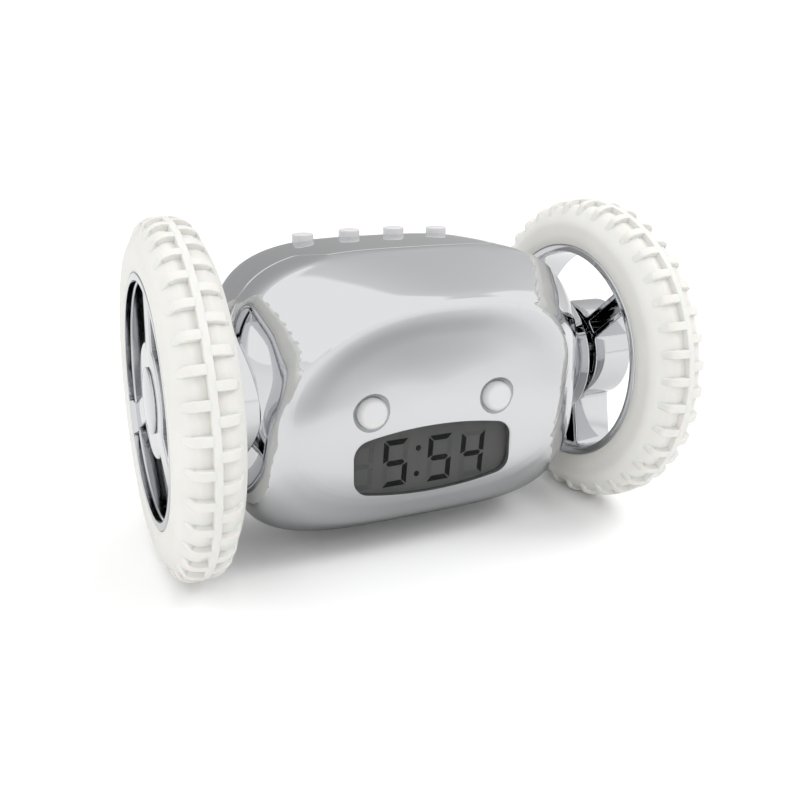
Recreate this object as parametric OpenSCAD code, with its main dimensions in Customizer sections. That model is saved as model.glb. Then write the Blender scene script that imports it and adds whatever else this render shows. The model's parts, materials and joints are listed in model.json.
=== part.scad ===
// Runaway alarm clock: a chrome body between two big toothed wheels.
// Millimetres, Z up. The axle runs along X, the face looks towards -Y,
// and the origin lies on the floor below the middle of the axle.

/* [Wheels] */
// Radius of the tyre over its tread
wheel_r = 46.2; // [45:0.1:48]
// Gap between a side cap and the wheel's inner lip
wheel_gap = 3.1; // [2.5:0.1:6]
// Radius of the chrome lip where the tyre's side begins
lip_r = 32.75; // [31.5:0.25:33.5]
// Radial width of the chrome lip
lip_w = 2.45; // [1.8:0.05:3]
// Half the width of the rim between its two lips
rim_half = 7.8; // [7:0.1:9]
// Lugs around one side of the tread
lug_count = 38; // [30:1:42]
// Height of the lugs above the tyre's carcass
lug_h = 1.6; // [1.2:0.1:2]
// Width of a lug along the tread
lug_w = 2.3; // [1.8:0.1:3.6]
// Width of the rib along the middle of the tread
rib_w = 1.8; // [1.4:0.1:2.6]
// Half the width of the tyre at its bulging sides
tyre_half = 8.2; // [7.9:0.1:9]
// Radius of the hub's drum
drum_r = 15; // [13:0.25:17]
// Width of a spoke
spoke_w = 7; // [6:0.25:8.5]
// Wall of the spokes and of the drum
hub_wall = 1.5; // [1.2:0.1:2]
// Turn of the right wheel's first spoke, from the front upwards
spoke_turn_right = 40; // [0:1:119]
// Turn of the left wheel's first spoke, from the front upwards
spoke_turn_left = 86; // [0:1:119]

/* [Body] */
// Half the width of the body at its seam
body_a = 50.5; // [49.5:0.25:51]
// Height of the body's middle above the floor
body_z = 43.7; // [43.2:0.1:44.2]
// Wall of the two body shells
wall = 1.8; // [1.4:0.1:2.2]
// How far the top panel of the rear shell reaches forward of the seam
tongue_len = 8; // [5:0.5:9]
// Half the width of that panel at its front edge
tongue_half = 24.5; // [23:0.5:26]
// Gap in the seam between the two shells
seam_gap = 0.15; // [0.1:0.05:0.3]
// Radius of the round cap on each side of the body
cap_r = 19; // [17:0.25:20]
// Distance from the clock's middle to the rim face of that cap
cap_x = 52.2; // [51.8:0.1:53]
// Height of the cap's dome above its rim
cap_dome = 0.9; // [0.5:0.1:1.2]

/* [Display] */
// Half the width of the display window
window_a = 23.4; // [22:0.2:24]
// Half the height of the display window
window_b = 9.4; // [8:0.1:9.6]
// Radius of the window's corners
window_corner = 4.7; // [3:0.1:5]
// How far the window's long sides fall off towards its corners
window_bow = 1.8; // [0.5:0.1:2.4]
// Height of the window's middle above the floor
window_z = 27.6; // [27.2:0.1:28.2]
// Depth of the window pane behind the face
pane_sink = 1.2; // [0.8:0.1:1.4]
// Thickness of the window pane
pane_t = 1; // [0.8:0.1:1.1]
// Thickness of the liquid crystal glass
lcd_t = 2.4; // [2:0.1:2.6]
// Width of the liquid crystal glass
lcd_w = 48; // [47.4:0.2:48.4]
// Height of the liquid crystal glass
lcd_h = 19.2; // [18.9:0.1:19.3]

/* [Buttons] */
// Radius of the two buttons on the face
face_button_r = 4.1; // [3.7:0.1:4.4]
// Distance of a face button from the middle
face_button_x = 18.5; // [17:0.25:20]
// Height of the face buttons above the floor
face_button_z = 42.8; // [42.2:0.1:44.2]
// Radius of the four buttons on the top
top_button_r = 3.1; // [2.8:0.1:3.4]
// Distance between two buttons on the top
top_button_step = 14.4; // [13:0.2:15.5]
// Distance of the top buttons behind the seam
top_button_y = 20; // [18:0.5:21.5]
// How far the top buttons stand above the body
top_button_h = 2.4; // [2:0.1:2.8]
// Travel of every button
button_travel = 1.2; // [0.8:0.1:1.3]
// Gap between a button and its hole
button_gap = 0.12; // [0.08:0.02:0.2]

/* [Drive] */
// Module of the gears
gear_m = 0.6; // [0.58:0.01:0.61]
// Teeth of the two large gears
teeth_big = 36; // [34:2:36]
// Teeth of the two small gears
teeth_small = 10; // [10:1:11]
// Pressure angle of the teeth
gear_alpha = 25; // [22:1:27]
// Gap between the flanks of two meshing teeth
backlash = 0.14; // [0.1:0.02:0.2]
// Radius of the steel wheel axle
axle_r = 2; // [1.8:0.05:2.2]
// Running gap around the axles and gear pins
run_gap = 0.05; // [0.02:0.01:0.09]
// Direction from the axle to the idler gear, from the rear upwards
idler_turn = -78; // [-82:1:-74]
// Direction from the idler gear to the motor, from the rear upwards
motor_turn = -133; // [-137:1:-129]
// Length of the motor can
motor_len = 24.8; // [24:0.1:25]
// Radius of the motor can
motor_r = 10; // [9.5:0.1:10.1]
// Width of the motor can across its flats
motor_flat = 15; // [14:0.1:15.4]

/* [Inside] */
// Radius of a battery cell
cell_r = 5.25; // [5:0.05:5.3]
// Length of a battery cell
cell_len = 44.5; // [44:0.1:44.5]
// Distance between two cells
cell_step = 10.8; // [10.7:0.1:11]
// Distance of the front cells behind the seam
cell_y = 11.5; // [10.8:0.1:11.8]
// Height of the lower cells above the floor
cell_z = 19.2; // [18.7:0.1:19.7]
// Radius of the speaker
speaker_r = 14; // [13:0.25:15]
// Height of the speaker above the floor
speaker_z = 58.2; // [58.2:0.1:58.7]
// Thickness of the circuit boards
board_t = 1.5; // [1.2:0.1:1.6]
// Radius of the case screws
screw_r = 1.3; // [1.1:0.05:1.5]

/* [Hidden] */

// Faces on a full round surface
$fn = 64;
// Small overlap that joins two solids into one
lap = 0.05;
// Gap between two fixed pieces that lie side by side
seat = 0.1;

// ---- the body's form ----
// One row for each ring of the form, from the seam to the middle of the face:
// half width, height and roundness above the middle, height and roundness
// below it, then the ring's distance in Y at the side, top and bottom, and
// how fast that distance grows towards the top.
front_rings = [
  [body_a, 39.0, 3.7, 38.5, 5.4, 0, 0, 0, 1],
  [body_a + 0.5, 38.7, 3.6, 38.4, 5.0, -6.5, -10.2, -6.5, 1],
  [body_a - 0.3, 37.6, 3.4, 36.9, 4.2, -13.2, -13.2, -12.5, 1],
  [body_a - 3.2, 34.2, 3.0, 33.4, 3.4, -18.3, -22.5, -18.2, 1],
  [body_a - 6.7, 31.3, 2.6, 28.6, 3.0, -21.0, -30.2, -20.8, 0.9],
  [body_a - 9.1, 29.9, 2.35, 26.2, 2.8, -22.0, -33.3, -21.6, 0.8],
  [body_a - 11.1, 27.9, 2.25, 24.0, 2.6, -22.4, -34.5, -22.0, 0.8],
  [body_a - 13.9, 25.4, 2.2, 21.5, 2.5, -22.5, -33.6, -22.3, 0.8],
  [30.0, 19.5, 2.1, 16.0, 2.4, -22.5, -29.5, -22.4, 0.9],
  [20.0, 12.0, 2.0, 10.5, 2.2, -22.4, -25.3, -22.4, 1],
  [9.0, 5.5, 2.0, 5.0, 2.0, -22.3, -22.9, -22.3, 1]
];
// Y of the face at its middle
face_y = -22.2;
rear_rings = [
  [body_a, 39.0, 3.7, 38.5, 5.4, 0, 0, 0, 1],
  [body_a + 0.1, 39.0, 3.7, 38.4, 5.2, 8, 9, 8, 1],
  [body_a - 0.3, 38.5, 3.6, 37.6, 4.8, 18, 22, 17, 1],
  [body_a - 2.3, 36.3, 3.3, 34.8, 4.0, 26.5, 29.0, 25.5, 1],
  [body_a - 6.9, 32.0, 3.0, 29.8, 3.4, 31.3, 32.4, 30.6, 1],
  [36.0, 24.8, 2.7, 23.6, 3.0, 33.4, 33.8, 33.0, 1],
  [22.0, 15.0, 2.4, 14.5, 2.5, 34.3, 34.3, 34.2, 1]
];
// Y of the back at its middle
back_y = 34.6;
// Points around one ring
ring_pts = 72;
// Half the width of the top panel where it meets the seam
tongue_root = tongue_half + 6.5;

// Distance from the middle to a rounded rectangle's edge, in direction t
function round_box(a, b, n, t) =
  1 / pow(pow(abs(cos(t)) / a, n) + pow(abs(sin(t)) / b, n), 1 / n);

// Distance from the middle to a ring in direction t, drawn in by d
function ring_r(row, t, d) =
  sin(t) >= 0 ? round_box(row[0] - d, row[1] - d, row[2], t)
              : round_box(row[0] - d, row[3] - d, row[4], t);

// Y of a ring in direction t
function ring_y(row, t) =
  sin(t) >= 0 ? row[5] + (row[6] - row[5]) * pow(sin(t), row[8])
              : row[5] + (row[7] - row[5]) * pow(sin(t), 2);

// How far the top panel moves the seam forward at distance x from the middle
function tongue_y(x) =
  -tongue_len * max(0, min(1, (tongue_root - abs(x)) / (tongue_root - tongue_half)));

// One ring of points; s moves the ring along Y
function ring(row, d, s, is_seam) = [
  for (i = [0 : ring_pts - 1])
    let (
      t = 360 * i / ring_pts,
      r = ring_r(row, t, d),
      x = r * cos(t),
      dy = is_seam && sin(t) > 0 ? tongue_y(x) : 0
    )
    [x, ring_y(row, t) + dy + s, body_z + r * sin(t)]
];

// Point of a smooth curve through b and c, with a and d beside them
function smooth_mid(a, b, c, d) = (9 * (b + c) - a - d) / 16;

// A ring halfway between two others
function mid_ring(a, b, c, d) = [
  for (i = [0 : ring_pts - 1]) smooth_mid(a[i], b[i], c[i], d[i])
];

// All rings of one half, with a smooth ring between each pair where fine is set
function all_rings(rows, d, s, y_edge, fine) =
  let (
    n = len(rows),
    base = [for (k = [0 : n - 1])
      ring(rows[k], d, k == 0 ? y_edge : (k < 3 ? s * k / 3 : s), k == 0)]
  )
  fine
    ? [for (k = [0 : n - 1], h = [0 : 1]) if (h == 0 || k < n - 1)
        h == 0 ? base[k]
               : mid_ring(base[max(0, k - 1)], base[k], base[k + 1], base[min(n - 1, k + 2)])]
    : base;

// A closed skin from rings that run from one pole or edge to the other.
// It starts at pole point p0 and ends at pole point p1.
module skin(rings, p0, p1, inward) {
  n = len(rings);
  m = ring_pts;
  pts = concat([for (r = rings) each r], [p0, p1]);
  quads = [
    for (k = [0 : n - 2], i = [0 : m - 1])
      let (a = k * m + i, b = k * m + (i + 1) % m)
      each [[a, b, b + m], [a, b + m, a + m]]
  ];
  cap0 = [for (i = [0 : m - 1]) [n * m, (i + 1) % m, i]];
  cap1 = [for (i = [0 : m - 1]) [n * m + 1, (n - 1) * m + i, (n - 1) * m + (i + 1) % m]];
  faces = concat(quads, cap0, cap1);
  polyhedron(points = pts, faces = inward ? [for (f = faces) [f[2], f[1], f[0]]] : faces);
}

// Rings in the opposite order
function turned(v) = [for (k = [len(v) - 1 : -1 : 0]) v[k]];

// Half shell with an open edge at the seam, wall thick
module front_half() {
  outer = all_rings(front_rings, 0, 0, 0, true);
  inner = all_rings(front_rings, wall, wall, 0, false);
  skin(concat(turned(inner), outer), [0, face_y + wall, body_z], [0, face_y, body_z], true);
}

module rear_half() {
  outer = all_rings(rear_rings, 0, 0, seam_gap, true);
  inner = all_rings(rear_rings, wall, -wall, seam_gap, false);
  skin(concat(turned(inner), outer), [0, back_y - wall, body_z], [0, back_y, body_z], false);
}

// Solid form of a half that ends inside the middle of its wall
module front_core() {
  rings = all_rings(front_rings, wall / 2, wall / 2, -0.2, false);
  skin(rings, [0, -2, body_z], [0, face_y + wall / 2, body_z], true);
}

module rear_core() {
  rings = all_rings(rear_rings, wall / 2, -wall / 2, seam_gap + 0.2, false);
  skin(rings, [0, 2, body_z], [0, back_y - wall / 2, body_z], false);
}

// ---- helpers ----
// Turns a shape drawn up the Z axis so that it runs along +X
module along_x(x, y, z) {
  translate([x, y, z])
    rotate([90, 0, 90])
      children();
}

// Turns a shape drawn up the Z axis so that it runs along +Y
module along_y(x, y, z) {
  translate([x, y, z])
    rotate([-90, 0, 0])
      children();
}

// Makes the left-hand twin of a right-hand piece
module left() {
  mirror([1, 0, 0])
    children();
}

// A box given by its lowest corner and its highest corner
module block(lo, hi) {
  translate(lo)
    cube(hi - lo);
}

// The window's rounded outline, grown by g, drawn in X and Z
module window_outline(g) {
  w = window_a - window_corner;
  h = window_b - window_corner;
  offset(r = window_corner + g)
    polygon(concat(
      [for (k = [-8 : 8]) [w * k / 8, h - window_bow * pow(k / 8, 2)]],
      [for (k = [8 : -1 : -8]) [w * k / 8, window_bow * pow(k / 8, 2) - h]]
    ));
}

module window_prism(y0, y1, g) {
  translate([0, y1, window_z])
    rotate([90, 0, 0])
      linear_extrude(y1 - y0)
        window_outline(g);
}

// ---- shells ----
post_low = [42, 14.2];
post_high = [38.5, 72.7];
posts = [post_low, post_high];
face_hole_r = face_button_r + button_gap;
top_hole_r = top_button_r + button_gap;
cap_hole_r = cap_r + seat;
// Depth of the case screws' heads inside the rear shell
screw_seat_y = 7;
screw_head_r = 2.6;
// Y of the face beside its two buttons
button_face_y = -22.35;
dish_r = face_hole_r + 0.95;
dish_depth = 0.45;
// Battery bay: wall, half width, and where it lies in Y and Z
bay_wall = 1.2;
bay_x = cell_len / 2 + 1.6;
bay_y0 = cell_y - cell_r - 0.25;
bay_y1 = cell_y + cell_step + 1.5;
bay_z0 = cell_z - cell_r - 0.25;
bay_z1 = cell_z + cell_step + cell_r + 0.25;
door_x = bay_x + bay_wall;
door_low = 13.2;
door_high = 42.2;
door_gap = 0.25;
// Height of the door's screw, and the depth that its head is sunk to
door_screw_z = 39.3;
door_seat_y = 33.5;
door_head_h = 0.9;
track_half = cap_x + cap_dome + wheel_gap + rim_half;
// Where two posts hold the key board up to the top
key_post_x = 1.5 * top_button_step + top_button_r + 3.5;

module front_shell() {
  color("silver")
  difference() {
    union() {
      front_half();
      intersection() {
        front_core();
        for (s = [-1, 1], p = posts)
          along_y(s * p[0], -30, p[1])
            cylinder(r = 3.4, h = 29.7);
      }
    }
    window_prism(-30, -15, 0);
    block([-lcd_w / 2 - seat, lcd_y0 - seat, window_z - lcd_h / 2 - seat],
          [lcd_w / 2 + seat, frame_y1, window_z + lcd_h / 2 + seat]);
    for (s = [-1, 1]) {
      along_y(s * face_button_x, -30, face_button_z)
        cylinder(r = face_hole_r, h = 15);
      along_y(s * face_button_x, -30, face_button_z)
        cylinder(r = dish_r, h = 30 + button_face_y + dish_depth);
      along_x(s < 0 ? -60 : 40, 0, wheel_r)
        cylinder(r = cap_hole_r, h = 20);
      for (p = posts)
        along_y(s * p[0], -9, p[1])
          cylinder(r = screw_r, h = 10);
    }
  }
}

module rear_shell() {
  color("silver")
  difference() {
    union() {
      rear_half();
      intersection() {
        rear_core();
        union() {
          for (s = [-1, 1], p = posts)
            along_y(s * p[0], 0.35, p[1])
              cylinder(r = 4.4, h = 40);
          for (s = [-1, 1])
            translate([s * key_post_x, top_button_y, key_z1 + seat])
              cylinder(r = 2, h = 12);
          along_y(0, speaker_y1 - 2.5, speaker_z)
            difference() {
              cylinder(r = speaker_r + 1.4, h = 12);
              translate([0, 0, -1])
                cylinder(r = speaker_r + seat, h = 14);
            }
        }
      }
    }
    for (s = [-1, 1]) {
      along_x(s < 0 ? -60 : 40, 0, wheel_r)
        cylinder(r = cap_hole_r, h = 20);
      for (p = posts) {
        along_y(s * p[0], -1, p[1])
          cylinder(r = screw_r + 0.15, h = 12);
        along_y(s * p[0], screw_seat_y, p[1])
          cylinder(r = screw_head_r + 0.3, h = 40);
      }
    }
    for (i = [0 : 3])
      translate([(i - 1.5) * top_button_step, top_button_y, key_z1])
        cylinder(r = top_hole_r, h = 14);
    speaker_holes();
    block([-door_x, 20, door_low], [door_x, 40, door_high]);
  }
}

// Rings of small round holes in front of the speaker
module speaker_holes() {
  for (k = [0 : 2], i = [0 : max(0, 6 * k - 1)])
    let (a = k == 0 ? 0 : 360 * i / (6 * k))
    along_y(3.6 * k * cos(a), 28, speaker_z + 3.6 * k * sin(a))
      cylinder(r = 0.9, h = 10, $fn = 24);
}

module battery_door() {
  color("silver")
  difference() {
    intersection() {
      rear_half();
      block([door_gap - door_x, 20.5, door_low + door_gap],
            [door_x - door_gap, 40, door_high - door_gap]);
    }
    along_y(0, 20, door_screw_z)
      cylinder(r = screw_r + 0.15, h = 20);
    along_y(0, door_seat_y, door_screw_z)
      cylinder(r = screw_head_r + 0.15, h = 5);
  }
}

module door_screw() {
  color("gray")
  along_y(0, door_seat_y + 0.02, door_screw_z)
    pan_head(screw_head_r, door_head_h, screw_r, 6);
}

// A screw whose shank runs back along -Z from the seat of its head
module pan_head(head_r, head_h, shank_r, shank_len) {
  difference() {
    union() {
      cylinder(r = head_r, h = head_h);
      translate([0, 0, -shank_len])
        cylinder(r = shank_r, h = shank_len + lap);
    }
    for (a = [0, 90])
      rotate(a)
        translate([-head_r * 0.6, -0.3, head_h - 0.6])
          cube([head_r * 1.2, 0.6, 1]);
  }
}

module case_screws() {
  color("gray")
  for (s = [-1, 1], p = posts)
    along_y(s * p[0], screw_seat_y + 0.02, p[1])
      pan_head(screw_head_r, 1.6, screw_r - 0.05, 13);
}

// Round chrome cap that closes the side of the body around the axle
module side_cap() {
  color("silver")
  along_x(0, 0, wheel_r)
    rotate_extrude()
      polygon([[3.4, plate_x1 + seat], [cap_r, plate_x1 + seat], [cap_r, cap_x - 0.6],
               [cap_r - 0.6, cap_x], [cap_r - 3, cap_x + cap_dome * 0.45],
               [cap_r - 8, cap_x + cap_dome * 0.9], [6, cap_x + cap_dome], [3.4, cap_x + cap_dome]]);
}

module side_cap_right() {
  side_cap();
}

module side_cap_left() {
  left()
    side_cap();
}

// ---- display ----
pane_y0 = face_y - 0.2 + pane_sink;
pane_y1 = pane_y0 + pane_t;
lcd_y0 = pane_y1 + seat;
lcd_y1 = lcd_y0 + lcd_t;
frame_y0 = -18;
frame_rim = 1.1;
board_y0 = -16.2;
frame_y1 = board_y0 - seat;

module window_pane() {
  color("dimgray")
  window_prism(pane_y0, pane_y1, -seat);
}

module lcd_glass() {
  color("darkseagreen")
  block([-lcd_w / 2, lcd_y0, window_z - lcd_h / 2], [lcd_w / 2, lcd_y1, window_z + lcd_h / 2]);
}

module lcd_frame() {
  color("ivory")
  difference() {
    block([-lcd_w / 2 - 2, frame_y0, window_z - lcd_h / 2 - frame_rim],
          [lcd_w / 2 + 2, frame_y1, window_z + lcd_h / 2 + frame_rim]);
    block([-lcd_w / 2 - seat, frame_y0 - 1, window_z - lcd_h / 2 - seat],
          [lcd_w / 2 + seat, frame_y1 + 1, window_z + lcd_h / 2 + seat]);
  }
}

module lcd_contact_strips() {
  color("hotpink")
  for (s = [-1, 1])
    block([1 - lcd_w / 2, lcd_y1 + 0.02, window_z + s * (lcd_h / 2 - 1.6) - 0.9],
          [lcd_w / 2 - 1, board_y0 - 0.02, window_z + s * (lcd_h / 2 - 1.6) + 0.9]);
}

// ---- boards and switches ----
board_y1 = board_y0 + board_t;
board_top = 63.7;
board_low = 15.7;

module main_board() {
  color("green")
  block([-29, board_y0, board_low], [29, board_y1, board_top]);
}

switch_h = 1.6;
face_stem_y = board_y0 - switch_h - button_travel - seat;

module face_switches() {
  color("black")
  for (s = [-1, 1])
    block([s * face_button_x - 3, board_y0 - switch_h, face_button_z - 3],
          [s * face_button_x + 3, board_y0, face_button_z + 3]);
}

key_z1 = 73.2;
key_z0 = key_z1 - board_t;

module key_board() {
  color("green")
  difference() {
    block([-key_post_x - 2.8, top_button_y - 6, key_z0], [key_post_x + 2.8, top_button_y + 5, key_z1]);
    for (s = [-1, 1])
      translate([s * key_post_x, top_button_y, key_z0 - 5])
        cylinder(r = 1.2, h = 10);
  }
}

module top_switches() {
  color("black")
  for (i = [0 : 3])
    block([(i - 1.5) * top_button_step - 3, top_button_y - 3, key_z1],
          [(i - 1.5) * top_button_step + 3, top_button_y + 3, key_z1 + switch_h]);
}

// ---- buttons ----
// Y of the wall behind a face button
face_back_y = -20.4;
face_cap_y = button_face_y - 1.9;

module face_button(x) {
  color("white")
  along_y(x, 0, face_button_z)
    rotate_extrude()
      polygon([[0, face_cap_y], [face_button_r - 1.1, face_cap_y + 0.05],
               [face_button_r - 0.6, face_cap_y + 0.35], [face_button_r - 0.2, face_cap_y + 1],
               [face_button_r, face_cap_y + 1.9],
               [face_button_r, face_back_y + seat], [face_button_r + 1, face_back_y + seat],
               [face_button_r + 1, face_back_y + seat + 0.8], [1.4, face_back_y + seat + 0.8],
               [1.4, face_stem_y], [0, face_stem_y]]);
}

module face_button_left() {
  face_button(-face_button_x);
}

module face_button_right() {
  face_button(face_button_x);
}

// Height of the body's top and of its inside at an inner and an outer button
top_z = [body_z + 38.5, body_z + 37.95];
top_in_z = [body_z + 35.2, body_z + 33.8];
top_stem_z = key_z1 + switch_h + button_travel + seat;

module top_button(i) {
  k = i == 0 || i == 3 ? 1 : 0;
  cap_z = top_z[k] + top_button_h;
  rim_z = top_in_z[k];
  color("white")
  translate([(i - 1.5) * top_button_step, top_button_y, 0])
    rotate_extrude()
      polygon([[0, cap_z], [top_button_r - 0.35, cap_z], [top_button_r, cap_z - 0.35],
               [top_button_r, rim_z], [top_button_r + 0.9, rim_z],
               [top_button_r + 0.9, rim_z - 0.7], [1.3, rim_z - 0.7],
               [1.3, top_stem_z], [0, top_stem_z]]);
}

module top_button_1() {
  top_button(0);
}

module top_button_2() {
  top_button(1);
}

module top_button_3() {
  top_button(2);
}

module top_button_4() {
  top_button(3);
}

// ---- speaker and batteries ----
speaker_y1 = 30.2;
speaker_y0 = speaker_y1 - 4.4;

module speaker() {
  color("black")
  along_y(0, 0, speaker_z)
    rotate_extrude()
      polygon([[0, speaker_y0 - 2], [6, speaker_y0 - 2], [6, speaker_y0], [speaker_r - 2, speaker_y0 + 1.4],
               [speaker_r, speaker_y0 + 2], [speaker_r, speaker_y1], [speaker_r - 1.5, speaker_y1],
               [speaker_r - 2.5, speaker_y1 - 0.8], [5, speaker_y1 - 2.2], [0, speaker_y1 - 1.4]]);
}

module battery_box() {
  color("dimgray")
  difference() {
    union() {
      block([-bay_x - bay_wall, bay_y0 - bay_wall, bay_z0 - bay_wall],
            [bay_x + bay_wall, bay_y1, bay_z1 + bay_wall]);
      block([-3.4, bay_y1 - 8, bay_z1 + lap], [3.4, 32.1, door_screw_z + 2.3]);
    }
    block([-bay_x, bay_y0, bay_z0], [bay_x, bay_y1 + 1, bay_z1]);
    along_y(0, bay_y1, door_screw_z)
      cylinder(r = screw_r + 0.02, h = 12);
  }
}

module battery_cells() {
  color("goldenrod")
  for (j = [0, 1], k = [0, 1])
    let (s = (j + k) % 2 == 0 ? 1 : -1)
    translate([0, cell_y + j * cell_step, cell_z + k * cell_step])
      rotate([0, 90 * s, 0])
        translate([0, 0, -cell_len / 2])
          rotate_extrude()
            polygon([[0, 0], [cell_r, 0], [cell_r, cell_len - 1], [1.9, cell_len - 1],
                     [1.9, cell_len], [0, cell_len]]);
}

module battery_contacts() {
  color("lightgray")
  for (s = [-1, 1], j = [0, 1])
    let (y = cell_y + j * cell_step)
    block([s > 0 ? cell_len / 2 + 0.3 : -bay_x + seat, y - 3.8, bay_z0 + 1.2],
          [s > 0 ? bay_x - seat : -cell_len / 2 - 0.3, y + 3.8, bay_z1 - 1.2]);
}

// ---- drive ----
add_h = 0.8 * gear_m;
ded_h = 1.1 * gear_m;
gear_c = gear_m * (teeth_big + teeth_small) / 2;
axle_yz = [0, wheel_r];
idler_yz = axle_yz + gear_c * [cos(idler_turn), sin(idler_turn)];
motor_yz = idler_yz + gear_c * [cos(motor_turn), sin(motor_turn)];
plate_x0 = 31.6;
plate_t = 1.8;
plate_x1 = 47;
motor_x1 = plate_x0 - seat;
first_x0 = 34.6;
first_x1 = 38;
second_x0 = 38.8;
second_x1 = 42.6;
pin_r = 1;
shaft_r = 1;
bush_r = 3.6;

// Point of an involute that leaves a circle of radius rb at angle 0
function involute(rb, u) = [
  rb * (cos(u) + u * PI / 180 * sin(u)),
  rb * (sin(u) - u * PI / 180 * cos(u))
];

function polar_r(p) = sqrt(p[0] * p[0] + p[1] * p[1]);

// Outline of a gear with a tooth centred on the X axis
module gear_outline(z) {
  rp = gear_m * z / 2;
  rb = rp * cos(gear_alpha);
  ra = rp + add_h;
  rf = rp - ded_h;
  r0 = max(rb, rf);
  half = 90 / z - backlash / rp * 45 / PI;
  inv_pitch = tan(gear_alpha) * 180 / PI - gear_alpha;
  steps = 4;
  flank = [for (k = [0 : steps])
    let (
      r = r0 + (ra - r0) * k / steps,
      u = sqrt(max(0, r * r / rb / rb - 1)) * 180 / PI,
      p = involute(rb, u),
      a = half + inv_pitch - atan2(p[1], p[0])
    )
    [r, a]];
  rows = concat(rf < r0 ? [[rf, flank[0][1]]] : [], flank);
  n = len(rows);
  polygon([for (i = [0 : z - 1], k = [0 : 2 * n - 1])
    let (
      row = k < n ? rows[k] : rows[2 * n - 1 - k],
      a = 360 * i / z + (k < n ? -row[1] : row[1])
    )
    row[0] * [cos(a), sin(a)]]);
}

module gear(z, x0, x1, turn) {
  along_x(x0, 0, 0)
    linear_extrude(x1 - x0)
      rotate(turn)
        gear_outline(z);
}

module output_gear() {
  color("ivory")
  translate([0, axle_yz[0], axle_yz[1]])
    difference() {
      union() {
        gear(teeth_big, second_x0 + 0.5, second_x1 - 0.5, idler_turn);
        along_x(second_x0 + 0.2, 0, 0)
          cylinder(r = 4, h = second_x1 - second_x0 + 1.2);
      }
      along_x(second_x0 - 1, 0, 0)
        cylinder(r = axle_r, h = 10);
    }
}

module idler_gear() {
  color("ivory")
  translate([0, idler_yz[0], idler_yz[1]])
    difference() {
      union() {
        gear(teeth_big, first_x0 + 0.4, first_x1 - 0.4, motor_turn);
        gear(teeth_small, first_x1 - 0.4 - lap, second_x1, idler_turn + 180 + 180 / teeth_small);
      }
      along_x(first_x0 - 1, 0, 0)
        cylinder(r = pin_r + run_gap, h = 12);
    }
}

module pinion() {
  color("ivory")
  translate([0, motor_yz[0], motor_yz[1]])
    difference() {
      gear(teeth_small, first_x0, first_x1, motor_turn + 180 + 180 / teeth_small);
      along_x(first_x0 - 1, 0, 0)
        cylinder(r = shaft_r, h = 8);
    }
}

module motor_shaft() {
  color("gray")
  along_x(motor_x1 - 4, motor_yz[0], motor_yz[1])
    cylinder(r = shaft_r - 0.005, h = first_x1 + 0.6 - motor_x1 + 4);
}

module motor() {
  color("lightsteelblue")
  translate([0, motor_yz[0], motor_yz[1]])
    difference() {
      union() {
        intersection() {
          along_x(motor_x1 - motor_len, 0, 0)
            cylinder(r = motor_r, h = motor_len);
          block([0, -motor_flat / 2, -motor_r - 1], [40, motor_flat / 2, motor_r + 1]);
        }
        along_x(motor_x1 - lap, 0, 0)
          cylinder(r = 3, h = 1.5);
      }
      along_x(motor_x1 - 4.5, 0, 0)
        cylinder(r = shaft_r + run_gap, h = 8);
    }
}

module idler_pin() {
  color("gray")
  along_x(plate_x0 + 0.3, idler_yz[0], idler_yz[1])
    cylinder(r = pin_r, h = plate_x1 - plate_x0 - 0.6);
}

// One plate of the gearbox, rounded around the points it carries
module gear_plate(x0, t, pts) {
  along_x(x0, 0, 0)
    linear_extrude(t)
      hull()
        for (p = pts)
          translate([p[0], p[1]])
            circle(r = p[2], $fn = 32);
}

pillar_a = [-11, wheel_r - 11.5];
pillar_b = [14.5, wheel_r - 4.5];
pillar_c = [-10, wheel_r + 11.5];

module gearbox() {
  color("white")
  difference() {
    union() {
      gear_plate(plate_x0, plate_t, [
        [motor_yz[0], motor_yz[1], 9], [axle_yz[0], axle_yz[1], 8],
        [pillar_b[0], pillar_b[1], 3], [pillar_c[0], pillar_c[1], 3]]);
      gear_plate(plate_x1 - plate_t, plate_t, [
        [idler_yz[0], idler_yz[1], 4], [pillar_a[0], pillar_a[1], 3],
        [pillar_b[0], pillar_b[1], 3], [pillar_c[0], pillar_c[1], 3]]);
      for (p = [pillar_a, pillar_b, pillar_c])
        along_x(plate_x0 + lap, p[0], p[1])
          cylinder(r = 2, h = plate_x1 - plate_x0 - 2 * lap);
    }
    along_x(plate_x0 - 1, motor_yz[0], motor_yz[1])
      cylinder(r = 3.1, h = 4);
    along_x(plate_x0 - 1, axle_yz[0], axle_yz[1])
      cylinder(r = axle_r + run_gap, h = 4);
    along_x(plate_x1 - plate_t - 1, axle_yz[0], axle_yz[1])
      cylinder(r = bush_r, h = 4);
    along_x(plate_x0 - 1, idler_yz[0], idler_yz[1])
      cylinder(r = pin_r, h = 20);
  }
}

bush_x0 = plate_x1 - plate_t - 1.2;

module bush() {
  color("goldenrod")
  along_x(bush_x0, axle_yz[0], axle_yz[1])
    difference() {
      union() {
        cylinder(r = bush_r, h = plate_x1 - bush_x0 + 0.05);
        cylinder(r = bush_r + 1, h = 1.1);
      }
      translate([0, 0, -1])
        cylinder(r = axle_r + run_gap, h = 10);
    }
}

// ---- wheels ----
hub_out = rim_half - 1.5;
hub_in = -rim_half + 1.5;
rim_in_r = lip_r - lip_w;
axle_x0 = plate_x0 + 0.3;
axle_x1 = track_half + hub_out - 2.5;

module axle() {
  color("gray")
  along_x(axle_x0, axle_yz[0], axle_yz[1])
    difference() {
      cylinder(r = axle_r, h = axle_x1 - axle_x0);
      translate([0, 0, axle_x1 - axle_x0 - 7])
        cylinder(r = 0.95, h = 8);
    }
}

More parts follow.
